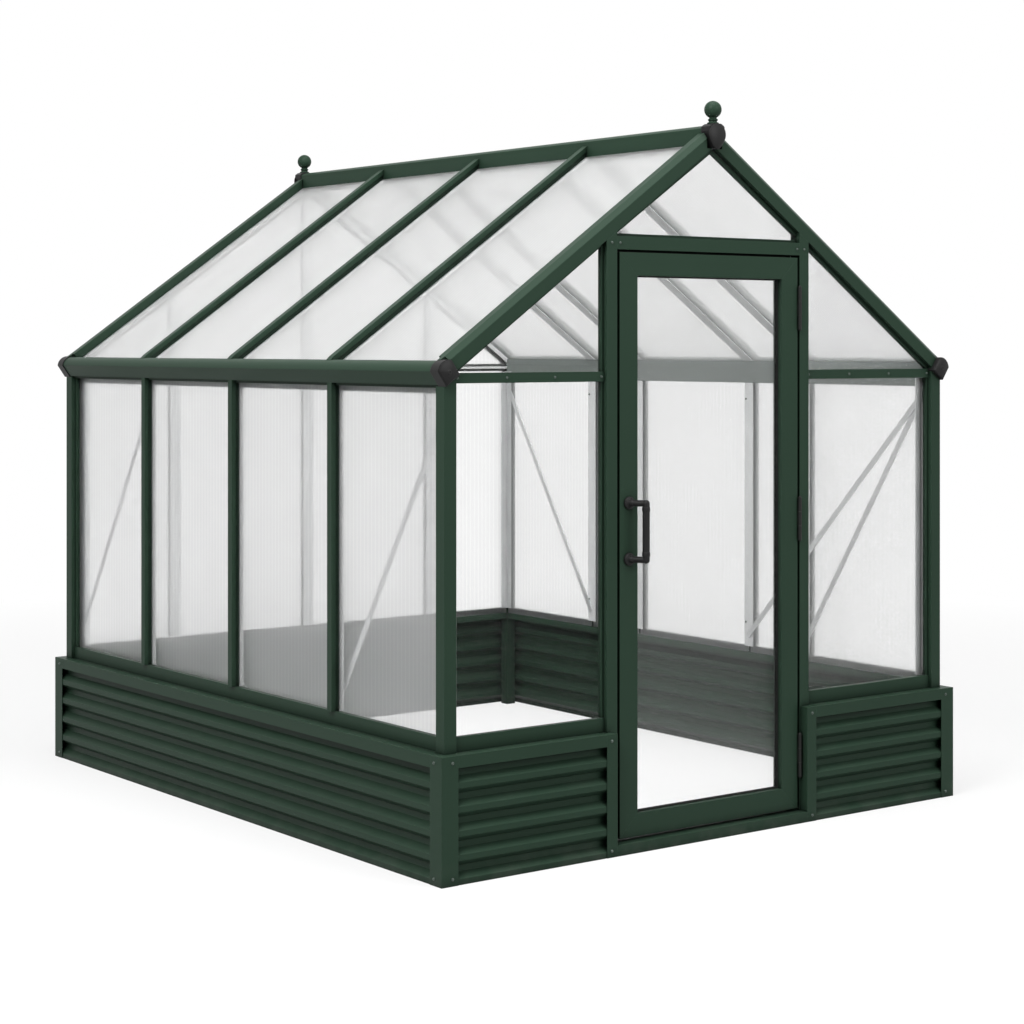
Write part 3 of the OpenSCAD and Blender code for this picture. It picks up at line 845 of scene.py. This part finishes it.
@dataclass
class SubAssembly:
    """A part of the greenhouse: dresses its frame nodes and adds its fittings."""

    sizes: Sizes
    palette: Palette
    pieces: list[bpy.types.Object] = field(default_factory=list)

    def dress(self, finish: str, *nodes: str) -> None:
        """Gives frame nodes a finish.

        Args:
            finish: Name of the finish.
            nodes: Names of the nodes.
        """
        for name in nodes:
            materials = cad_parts[name].data.materials
            if len(materials) == 0:
                materials.append(self.palette[finish])
            for index in range(len(materials)):
                materials[index] = self.palette[finish]
            LOG.info("node %s: %s", name, finish)

    def fit(self, maker: MeshMaker, name: str, finish: str, body: Body, slot: Slot) -> None:
        """Makes a piece and lets it ride a body.

        Args:
            maker: The piece's mesh.
            name: Its name.
            finish: Name of its finish.
            body: The body that it rides.
            slot: Its material slot; not used.
        """
        piece = maker.made(name, self.palette[finish])
        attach(piece, body.value)
        self.pieces.append(piece)
        LOG.info("piece %s: %d faces on %s", piece.name, len(piece.data.polygons), body.value)

    def wall_strip(self, maker: MeshMaker, wall: Wall, along: Span, depth: Span, z: Span,
                   chamfer: float = 0.0008) -> None:
        """An upright or level strip on a wall.

        Args:
            maker: The mesh to add to.
            wall: The wall.
            along: Its ends along the wall.
            depth: Its front and back, inwards from the frame's face.
            z: Its lower and upper edges.
            chamfer: Bevel of its long edges.
        """
        point = self.sizes.on_wall
        front, back = depth
        if z[1] - z[0] >= abs(along[1] - along[0]):
            corners = ((along[0], front), (along[1], front), (along[1], back), (along[0], back))
            ends = [[point(wall, a, d, h) for a, d in corners] for h in z]
        else:
            corners = ((front, z[0]), (back, z[0]), (back, z[1]), (front, z[1]))
            ends = [[point(wall, a, d, h) for d, h in corners] for a in along]
        maker.bar(ends[0] + ends[1], chamfer)


@dataclass
class BaseSkirt(SubAssembly):
    """Corrugated base with its angles, rails, end covers and screws."""

    latch_reveal: float = 0.024
    hinge_reveal: float = 0.004
    flange_w: float = 0.040
    sheet: float = 0.002
    clear: float = 0.0004
    cover_rim: float = 0.0012
    cover_h: float = 0.0019
    cover_slope: float = 0.08
    hem: float = 0.012
    hem_t: float = 0.0014
    hem_bevel: float = 0.0003
    screw_z: float = 0.020
    corner_screw: float = 0.038
    door_screw: float = 0.022

    def build(self) -> None:
        """Dresses the base and adds its end covers and screws."""
        self.dress("paint", "base_left_panel", "base_right_panel", "base_back_panel", "base_front_left_panel",
                   "base_front_right_panel", "base_corner_posts", "base_door_posts", "base_top_rails",
                   "base_inner_posts", "door_sill")
        self.add_end_covers()
        self.add_screws()

    def add_end_covers(self) -> None:
        """Folded covers over the base's open ends beside the doorway, with tabs to the jambs."""
        s, maker = self.sizes, MeshMaker()
        low = s.base_h - self.sheet
        back, front = -self.clear, -s.base_out + self.sheet + self.clear
        for jamb, reveal, side in ((s.jamb_l, self.latch_reveal, -1), (s.jamb_r, self.hinge_reveal, 1)):
            near = jamb + side * (reveal + self.sheet + self.clear)
            far = jamb + side * (reveal + self.flange_w - self.clear)
            beside = jamb + side * (s.jamb_w + self.clear)
            for start, inward, outward in ((near, back, front), (beside, s.lip_depth - self.clear, back)):
                corners = ((start, inward), (far, inward), (far, outward), (start, outward))
                outline = [s.on_wall(Wall.FRONT, x, depth, low) for x, depth in corners]
                middle = sum(outline, Vector()) / len(outline)
                inner = [p + (middle - p) * self.cover_slope for p in outline]
                maker.plate(outline, inner, UP * self.cover_rim, UP * self.cover_h)
            self.wall_strip(maker, Wall.FRONT, (min(near, far), max(near, far)), (back, back - self.hem_t),
                            (low - self.hem, low), self.hem_bevel)
        self.fit(maker, "base_end_covers", "paint", Body.STRUCTURE, Slot.PAINT)

    def add_screws(self) -> None:
        """Screws near the top and foot of every base angle."""
        s, maker = self.sizes, MeshMaker()
        places = [(wall, end * (s.half(wall) + s.base_out - self.corner_screw))
                  for wall, end in product(Wall, ENDS)]
        places += [(Wall.FRONT, s.jamb_l - self.latch_reveal - self.door_screw),
                   (Wall.FRONT, s.jamb_r + self.hinge_reveal + self.door_screw)]
        for (wall, along), z in product(places, (self.screw_z, s.base_h - self.screw_z)):
            maker.screw(s.on_wall(wall, along, -s.base_out, z), wall.outward)
        self.fit(maker, "base_screws", "zinc", Body.STRUCTURE, Slot.METAL)


@dataclass
class WallFrame(SubAssembly):
    """Posts, bars, rails and braces of the walls, with lips, inner angles and screws."""

    lip_w: float = 0.009
    lip_front: float = 0.016
    lip_bevel: float = 0.0008
    seal_gap: float = 0.0006
    plate_gap: float = 0.008
    rafter_gap: float = 0.001
    header_gap: float = 0.002
    gable_extra: float = 0.002
    gable_sunk: float = 0.0004
    angle_leg: float = 0.030
    angle_t: float = 0.0016
    angle_gap: float = 0.0006
    angle_drop: float = 0.002
    screw_r: float = 0.0030
    screw_inset: float = 0.012
    front_screws: int = 4
    back_screws: int = 9
    bar_clear: float = 0.03
    brace_screw: float = 0.014
    brace_heights: Span = (0.50, 1.33)

    def build(self) -> None:
        """Dresses the wall frame and adds its fittings."""
        self.dress("paint", "corner_posts", "sill_rails", "door_jambs", "door_header")
        self.dress("side_bar", "left_wall_mullions", "right_wall_mullions")
        self.dress("end_bar", "back_wall_mullions", "gable_tie_rails")
        self.dress("metal", "left_wall_braces", "right_wall_braces")
        self.dress("side_glass", "left_wall_glazing", "right_wall_glazing")
        self.dress("back_glass", "back_wall_glazing")
        self.dress("front_glass", "front_wall_glazing")
        self.add_lips()
        self.add_gable_lips()
        self.add_inner_angles()
        self.add_screws()

    @property
    def lip_span(self) -> Span:
        """Front and back of the lips, just clear of the panels."""
        return self.lip_front, self.sizes.pane_depth - self.seal_gap

    def add_lips(self) -> None:
        """Upright lips that hold the panels at posts and jambs, and a level one over the header."""
        s, maker = self.sizes, MeshMaker()
        left, right = s.jamb_edges
        jamb_lips = [(left - self.lip_w, left), (right, right + self.lip_w)]
        for wall in Wall:
            half = s.half(wall) - s.post
            top = s.plate_z - self.plate_gap if wall.is_side else s.tie_z
            places = [(-half, -half + self.lip_w), (half - self.lip_w, half)]
            for along in places + (jamb_lips if wall is Wall.FRONT else []):
                self.wall_strip(maker, wall, along, self.lip_span, (s.sill_top, top), self.lip_bevel)
        for along in jamb_lips:
            top = s.under_rafter(max(abs(x) for x in along)) - self.rafter_gap
            self.wall_strip(maker, Wall.FRONT, along, self.lip_span, (s.tie_z + s.tie_h, top),
                            self.lip_bevel)
        header = s.door_open_h + s.header_h
        self.wall_strip(maker, Wall.FRONT, (s.jamb_l + self.header_gap, s.jamb_r - self.header_gap),
                        self.lip_span, (header, header + self.lip_w), self.lip_bevel)
        self.fit(maker, "glazing_lips", "paint", Body.STRUCTURE, Slot.PAINT)

    def add_gable_lips(self) -> None:
        """Sloping lips under the rafters of both gables, between the uprights."""
        s, maker = self.sizes, MeshMaker()
        outer, web = s.hw - s.post, s.bar_web / 2
        left, right = s.jamb_edges
        stops = [-outer, *(bar + side * web for bar, side in product(s.back_bars, ENDS)), outer]
        front_spans = ((-outer, left), (s.jamb_l, 0.0), (0.0, s.jamb_r), (right, outer))
        spans = [(Wall.FRONT, span) for span in front_spans]
        spans += [(Wall.BACK, span) for span in zip(stops[0::2], stops[1::2])]
        drop = (self.lip_w + self.gable_extra) / s.run
        front, back = self.lip_span
        for wall, span in spans:
            ends = []
            for x in span:
                high = min(s.under_rafter(x), s.apex + s.ridge_low) + self.gable_sunk
                corners = ((front, high - drop), (back, high - drop), (back, high), (front, high))
                ends += [s.on_wall(wall, x, depth, z) for depth, z in corners]
            maker.bar(ends, self.lip_bevel)
        self.fit(maker, "gable_lips", "paint", Body.STRUCTURE, Slot.PAINT)

    def add_inner_angles(self) -> None:
        """Bare angles that cover the corner posts on the inside."""
        s, maker = self.sizes, MeshMaker()
        leg, thick = self.angle_leg, self.angle_t
        x0, y0 = s.hw - s.post - self.angle_gap, s.hd - s.post - self.angle_gap
        outline = [(x0, y0), (x0 - leg, y0), (x0 - leg, y0 - thick), (x0 - thick, y0 - thick),
                   (x0 - thick, y0 - leg), (x0, y0 - leg)]
        for sx, sy in product(ENDS, ENDS):
            maker.loft([[Vector((sx * x, sy * y, z)) for x, y in outline]
                        for z in (s.sill_top, s.tie_z - self.angle_drop)])
        self.fit(maker, "inner_corner_angles", "metal", Body.STRUCTURE, Slot.METAL)

    def add_screws(self) -> None:
        """Screws on the tie rails, the header's ends and the brace ends."""
        s, maker, inset = self.sizes, MeshMaker(), self.screw_inset
        left, right = s.jamb_edges
        outer = s.hw - s.post - inset
        rows = ((Wall.FRONT, -outer, left - inset, self.front_screws),
                (Wall.FRONT, right + inset, outer, self.front_screws),
                (Wall.BACK, -outer, outer, self.back_screws))
        for wall, first, last, count in rows:
            for x in (first + (last - first) * k / (count - 1) for k in range(count)):
                if wall is Wall.BACK and min(abs(x - bar) for bar in s.back_bars) < self.bar_clear:
                    continue
                place = s.on_wall(wall, x, s.lip_depth, s.tie_z + s.tie_h / 2)
                maker.screw(place, wall.outward, self.screw_r)
        head = s.door_open_h + s.header_h / 2
        for x in (s.jamb_l + inset, s.jamb_r - inset, s.jamb_l - s.jamb_w / 2, s.jamb_r + s.jamb_w / 2):
            maker.screw(s.on_wall(Wall.FRONT, x, 0.0, head), Wall.FRONT.outward, self.screw_r)
        for wall, bars in ((Wall.LEFT, s.left_bars), (Wall.RIGHT, s.right_bars)):
            for bar, z in product(bars, self.brace_heights):
                place = s.on_wall(wall, bar + self.brace_screw, s.bar_depth, z)
                maker.screw(place, -wall.outward, self.screw_r)
        self.fit(maker, "frame_screws", "zinc", Body.STRUCTURE, Slot.METAL)


@dataclass(frozen=True)
class Cover:
    """A cover on a cap's end: its rim and face as shares of the cap's outline, and their heights."""

    rim: float
    face: float
    rim_h: float
    face_h: float
    sunk: float = 0.0005

    def add(self, maker: MeshMaker, outline: Profile, place: Callable[[float, float, float], Vector],
            outward: Vector) -> None:
        """Adds the cover to a mesh.

        Args:
            maker: The mesh to add to.
            outline: The cap's outline about its middle.
            place: Gives a point from its place across and up the cap, and out of the cap's end.
            outward: Unit vector out of the cap's end.
        """
        rim = [place(across * self.rim, up * self.rim, -self.sunk) for across, up in outline]
        face = [place(across * self.face, up * self.face, 0.0) for across, up in outline]
        maker.plate(rim, face, outward * self.rim_h, outward * self.face_h)


@dataclass
class RoofTrim(SubAssembly):
    """Rafters, ridge, roof bars and panels, with the caps' covers and the finials' collars."""

    foot_gap: float = 0.0004
    foot_steps: tuple[float, ...] = (0.021, 0.015, 0.010)
    foot_toe: float = 0.0012
    foot_sunk: float = 0.0004
    rafter_gap: float = 0.0002
    rafter_edges: Span = (0.014, 0.028)
    eave_cover: Cover = Cover(rim=0.94, face=0.80, rim_h=0.0025, face_h=0.0050)
    eave_steps: int = 12
    boss: Profile = ((0.0075, 0.0), (0.0072, 0.0012), (0.0045, 0.0020), (0.0030, 0.0008))
    boss_sides: int = 14
    ridge_cover: Cover = Cover(rim=0.95, face=0.78, rim_h=0.0025, face_h=0.0060)
    shield_drop: float = 0.026
    shield_r: float = 0.0365
    shield_swing: float = 112.0
    shield_steps: int = 28
    shield_point: Profile = ((0.020, -0.036), (0.0085, -0.047), (0.0, -0.050), (-0.0085, -0.047),
                             (-0.020, -0.036))
    collar_in: float = 0.020
    collar: Profile = ((0.0185, 0.0), (0.0185, 0.0025), (0.0170, 0.0040), (0.0135, 0.0052), (0.0128, 0.0085),
                       (0.0150, 0.0105), (0.0160, 0.0125), (0.0150, 0.0145), (0.0124, 0.0160))
    collar_sides: int = 32

    def build(self) -> None:
        """Dresses the roof and adds its trim."""
        self.dress("paint", "ridge_beam", "finials")
        self.dress("eave_bar_painted_shade", "eave_rails")
        self.dress("rafter_bar", "front_rafters", "back_rafters")
        self.dress("roof_bar", "left_roof_bars", "right_roof_bars")
        self.dress("roof_glass", "left_roof_glazing", "right_roof_glazing")
        self.dress("black", "eave_caps", "ridge_caps")
        self.add_bar_feet()
        self.add_eave_covers()
        self.add_ridge_covers()
        self.add_collars()

    def add_foot(self, maker: MeshMaker, side: float, start: float, radius: float, edges: Span) -> None:
        """A tapered foot between a bar's lower end and the dome of the eave rail or cap.

        Args:
            maker: The mesh to add to.
            side: -1 for the left slope and 1 for the right one.
            start: Where the bar ends above the eave rail.
            radius: Radius of the dome under the foot.
            edges: The foot's two edges along the ridge.
        """
        s = self.sizes
        steps = (start + self.foot_gap, *self.foot_steps)
        dome = [(up, s.dome_centre + math.sqrt(radius ** 2 - up ** 2) - self.foot_sunk) for up in steps]
        outline = [(steps[0], s.bar_n), *dome, (steps[-1], dome[-1][1] + self.foot_toe)]
        maker.loft([[s.on_roof(side, up, along, out) for up, out in outline] for along in edges])

    def add_bar_feet(self) -> None:
        """Tapered feet that bring bars and rafters down onto the eave rails and caps."""
        s, maker = self.sizes, MeshMaker()
        half = s.bar_face / 2
        cap_start = s.eave_half + s.cap_lip + self.rafter_gap
        for side, bars in ((-1, s.left_bars), (1, s.right_bars)):
            for bar in bars:
                self.add_foot(maker, side, s.eave_half, s.dome_r, (bar - half, bar + half))
            for end in ENDS:
                outer, inner = (end * (s.hd - edge) for edge in self.rafter_edges)
                self.add_foot(maker, side, cap_start, s.cap_r, (outer, inner))
        self.fit(maker, "roof_bar_feet", "paint", Body.STRUCTURE, Slot.PAINT)

    def add_eave_covers(self) -> None:
        """Domed covers with a sloped rim and a boss on the ends of the eave caps."""
        s, maker, cover = self.sizes, MeshMaker(), self.eave_cover
        half = s.eave_half + s.cap_lip
        swing = math.asin(half / s.cap_r)
        angles = (swing - 2 * swing * k / self.eave_steps for k in range(self.eave_steps + 1))
        outline = [(-half, -half), (half, -half)]
        outline += [(s.cap_r * math.sin(a), s.dome_centre + s.cap_r * math.cos(a)) for a in angles]
        for side, end in product(ENDS, ENDS):
            def place(across: float, up: float, out: float) -> Vector:
                """A point on the end of this eave cap."""
                return s.on_roof(side, across, end * (s.cap_front + out), up)

            outward = Vector((0, end, 0))
            cover.add(maker, outline, place, outward)
            maker.turned(place(0.0, 0.0, cover.face_h - cover.sunk), outward, self.boss, self.boss_sides)
        self.fit(maker, "eave_cap_covers", "black", Body.STRUCTURE, Slot.BLACK)

    def add_ridge_covers(self) -> None:
        """Shield-shaped covers on the ends of the ridge caps."""
        s, maker = self.sizes, MeshMaker()
        swing = math.radians(self.shield_swing)
        angles = (2 * swing * k / self.shield_steps - swing for k in range(self.shield_steps + 1))
        outline = [(self.shield_r * math.sin(a), self.shield_r * math.cos(a)) for a in angles]
        for end in ENDS:
            def place(across: float, up: float, out: float) -> Vector:
                """A point on the end of this ridge cap."""
                return Vector((across, end * (s.cap_front + out), s.apex - self.shield_drop + up))

            self.ridge_cover.add(maker, [*outline, *self.shield_point], place, Vector((0, end, 0)))
        self.fit(maker, "ridge_cap_covers", "black", Body.STRUCTURE, Slot.BLACK)

    def add_collars(self) -> None:
        """Turned collars round the necks of the finials."""
        s, maker = self.sizes, MeshMaker()
        for end in ENDS:
            base = Vector((0.0, end * (s.cap_front - self.collar_in), s.apex + s.cap_top))
            maker.turned(base, UP, self.collar, self.collar_sides)
        self.fit(maker, "finial_collars", "paint", Body.STRUCTURE, Slot.PAINT)


@dataclass
class DoorLeaf(SubAssembly):
    """The door with its seals, handle fittings and hinge pins."""

    seal_w: float = 0.0045
    seal_sunk: float = 0.0005
    seal_depths: tuple[Span, Span] = ((0.0165, 0.0208), (0.0272, 0.0315))
    flap_depth: Span = (0.026, 0.030)
    flap_bevel: float = 0.0006
    flap_root: float = 0.001
    flap_side: float = 0.0055
    flap_end: float = 0.005
    flap_inset: float = 0.01
    flap_hinge_inset: float = 0.02
    handle_z: float = 0.968
    handle_half: float = 0.085
    handle_set: float = 0.024
    grip_out: float = 0.053
    arm_out: float = 0.005
    foot_out: float = 0.0055
    foot_collar: Profile = ((0.0188, 0.0), (0.0180, 0.0016), (0.0160, 0.0026), (0.0125, 0.0030),
                            (0.0118, 0.0045))
    arm_collar: Profile = ((0.0104, 0.0), (0.0118, 0.010), (0.0114, 0.013), (0.0101, 0.0145))
    grip_ring: Profile = ((0.0111, -0.007), (0.0124, -0.0055), (0.0124, 0.0045), (0.0111, 0.006))
    ring_in: float = 0.017
    handle_sides: int = 28
    hinges: tuple[float, ...] = (0.212, 0.972, 1.648)
    hinge_half: float = 0.0670
    pin_in: float = 0.005
    pin_out: float = 0.006
    pin: Profile = ((0.0050, 0.0), (0.0050, 0.0020), (0.0042, 0.0040), (0.0026, 0.0052), (0.0010, 0.0057))
    pin_sides: int = 18

    def build(self) -> None:
        """Dresses the door and adds its fittings."""
        self.dress("paint", "door_latch_stile", "door_hinge_stile", "door_top_rail", "door_bottom_rail")
        self.dress("door_glass", "door_pane")
        self.dress("black", "door_handle")
        self.dress("hinge", "hinge_frame_leaves", "hinge_door_leaves")
        self.add_pane_seal()
        self.add_edge_seal()
        self.add_handle_collars()
        self.add_hinge_pins()

    def add_pane_seal(self) -> None:
        """Rubber round the door pane, in front of and behind it."""
        s, maker, width = self.sizes, MeshMaker(), self.seal_w
        inner = s.stile - self.seal_sunk
        left, right = s.leaf_l + inner, s.leaf_r - inner
        low, high = s.leaf_low + inner, s.leaf_top - inner
        strips = (((left, left + width), (low, high)), ((right - width, right), (low, high)),
                  ((left + width, right - width), (low, low + width)),
                  ((left + width, right - width), (high - width, high)))
        for depth, (along, z) in product(self.seal_depths, strips):
            self.wall_strip(maker, Wall.FRONT, along, depth, z)
        self.fit(maker, "door_pane_seal", "rubber", Body.DOOR, Slot.BLACK)

    def add_edge_seal(self) -> None:
        """Flap seals on the leaf's latch edge, head and foot."""
        s, maker = self.sizes, MeshMaker()
        level = (s.leaf_l + self.flap_inset, s.leaf_r - self.flap_hinge_inset)
        strips = (((s.leaf_l - self.flap_side, s.leaf_l + self.flap_root),
                   (s.leaf_low + self.flap_inset, s.leaf_top - self.flap_inset)),
                  (level, (s.leaf_top - self.flap_root, s.leaf_top + self.flap_end)),
                  (level, (s.leaf_low - self.flap_end, s.leaf_low + self.flap_root)))
        for along, z in strips:
            self.wall_strip(maker, Wall.FRONT, along, self.flap_depth, z, self.flap_bevel)
        self.fit(maker, "door_edge_seal", "rubber", Body.DOOR, Slot.BLACK)

    def add_handle_collars(self) -> None:
        """Collars at the handle's feet and end rings on its grip."""
        s, maker, sides = self.sizes, MeshMaker(), self.handle_sides
        x = s.leaf_l + s.stile / 2
        grip = Vector((x + self.handle_set, -s.hd - self.grip_out, 0.0))
        arm = (grip - Vector((x, -s.hd - self.arm_out, 0.0))).normalized()
        for end in ENDS:
            foot = Vector((x, -s.hd - self.foot_out, self.handle_z + end * self.handle_half))
            maker.turned(foot, Wall.FRONT.outward, self.foot_collar, sides)
            maker.turned(foot, arm, self.arm_collar, sides)
            ring = grip + UP * (self.handle_z + end * (self.handle_half - self.ring_in))
            maker.turned(ring, UP * end, self.grip_ring, sides)
        self.fit(maker, "handle_collars", "black", Body.DOOR, Slot.BLACK)

    def add_hinge_pins(self) -> None:
        """Domed pin ends above and below each hinge."""
        s, maker = self.sizes, MeshMaker()
        for z, end in product(self.hinges, ENDS):
            tip = Vector((s.jamb_r - self.pin_in, -s.hd - self.pin_out, z + end * self.hinge_half))
            maker.turned(tip, UP * end, self.pin, self.pin_sides)
        self.fit(maker, "hinge_pin_ends", "hinge", Body.STRUCTURE, Slot.HINGE)


@dataclass(frozen=True)
class Lamp:
    """A square area lamp: where it hangs, what it points at, its side in metres and its power in watts."""

    name: str
    place: Triple
    target: Triple
    size: float
    power: float

    def hang(self, scene: bpy.types.Scene) -> None:
        """Adds the lamp to a scene."""
        data = bpy.data.lights.new(self.name, "AREA")
        data.size, data.energy = self.size, self.power
        lamp = bpy.data.objects.new(self.name, data)
        lamp.location = self.place
        lamp.rotation_euler = (Vector(self.target) - Vector(self.place)).to_track_quat("-Z", "Y").to_euler()
        scene.collection.objects.link(lamp)


@dataclass
class Studio:
    """White floor, soft lamps, world and the photograph's camera."""

    groups: SharedGroups
    floor_rings: tuple[float, ...] = (1.0, 4.0, 9.0, 20.0, 45.0)
    floor_sides: int = 48
    floor_drop: float = 0.0005
    ambient: float = 0.28
    lamps: tuple[Lamp, ...] = (
        Lamp("key_left", (-5.5, -2.6, 5.8), (0.0, 0.0, 0.9), 3.2, 430.0),
        Lamp("top", (-0.4, -1.6, 6.8), (0.0, -0.3, 0.8), 4.0, 250.0),
        Lamp("front_fill", (1.4, -7.0, 4.0), (0.0, -1.2, 0.8), 3.6, 190.0),
    )
    camera_place: Triple = (-4.606, -6.292, 1.528)
    yaw: float = 36.956
    sensor: float = 36.0
    lens: float = 76.98
    shift: float = -0.1625
    clip: Span = (0.1, 200.0)

    def build(self) -> None:
        """Builds everything round the object."""
        scene = bpy.context.scene
        scene.view_settings.view_transform = "Standard"
        self.add_floor()
        self.add_world(scene)
        for lamp in self.lamps:
            lamp.hang(scene)
        self.add_camera(scene)

    def add_floor(self) -> None:
        """A round floor that turns white away from the object."""
        maker, sides = MeshMaker(), self.floor_sides
        points = [point for radius in self.floor_rings for point in circle(radius, sides)]
        faces = [list(range(sides))]
        for inner in range(0, (len(self.floor_rings) - 1) * sides, sides):
            outer = inner + sides
            faces += [[inner + k, outer + k, outer + (k + 1) % sides, inner + (k + 1) % sides]
                      for k in range(sides)]
        maker.add(points, faces)
        floor = maker.made("studio_floor", FloorFinish("white_floor").build(self.groups))
        floor.location = (0.0, 0.0, -self.floor_drop)

    def add_world(self, scene: bpy.types.Scene) -> None:
        """A world that lights evenly and looks white."""
        world = bpy.data.worlds.new("studio")
        world.use_nodes = True
        scene.world = world
        graph = Graph(world.node_tree)
        graph.tree.nodes.clear()
        light = graph.add("ShaderNodeBackground", {"Color": rgba(WHITE), "Strength": self.ambient})
        white = graph.add("ShaderNodeBackground", {"Color": rgba(WHITE), "Strength": 1.0})
        mix = graph.add("ShaderNodeMixShader", {0: graph.showing(), 1: light.outputs[0], 2: white.outputs[0]})
        graph.add("ShaderNodeOutputWorld", {"Surface": mix.outputs[0]})

    def add_camera(self, scene: bpy.types.Scene) -> None:
        """The level camera that took the photograph."""
        data = bpy.data.cameras.new("photo_camera")
        data.sensor_width, data.lens, data.shift_y = self.sensor, self.lens, self.shift
        data.clip_start, data.clip_end = self.clip
        camera = bpy.data.objects.new("photo_camera", data)
        camera.location = self.camera_place
        camera.rotation_euler = (math.radians(90.0), 0.0, math.radians(-self.yaw))
        scene.collection.objects.link(camera)
        scene.camera = camera


def main() -> None:
    """Builds the finishes, the sub-assemblies in order, and the studio."""
    logging.basicConfig(level=logging.INFO, format="%(name)s %(message)s")
    sizes, groups = Sizes(), SharedGroups()
    palette = Palette(sizes, groups)
    palette.build()
    for kind in (BaseSkirt, WallFrame, RoofTrim, DoorLeaf):
        part = kind(sizes, palette)
        part.build()
        LOG.info("%s: %d pieces", kind.__name__, len(part.pieces))
    Studio(groups).build()


if __name__ == "__main__":
    main()
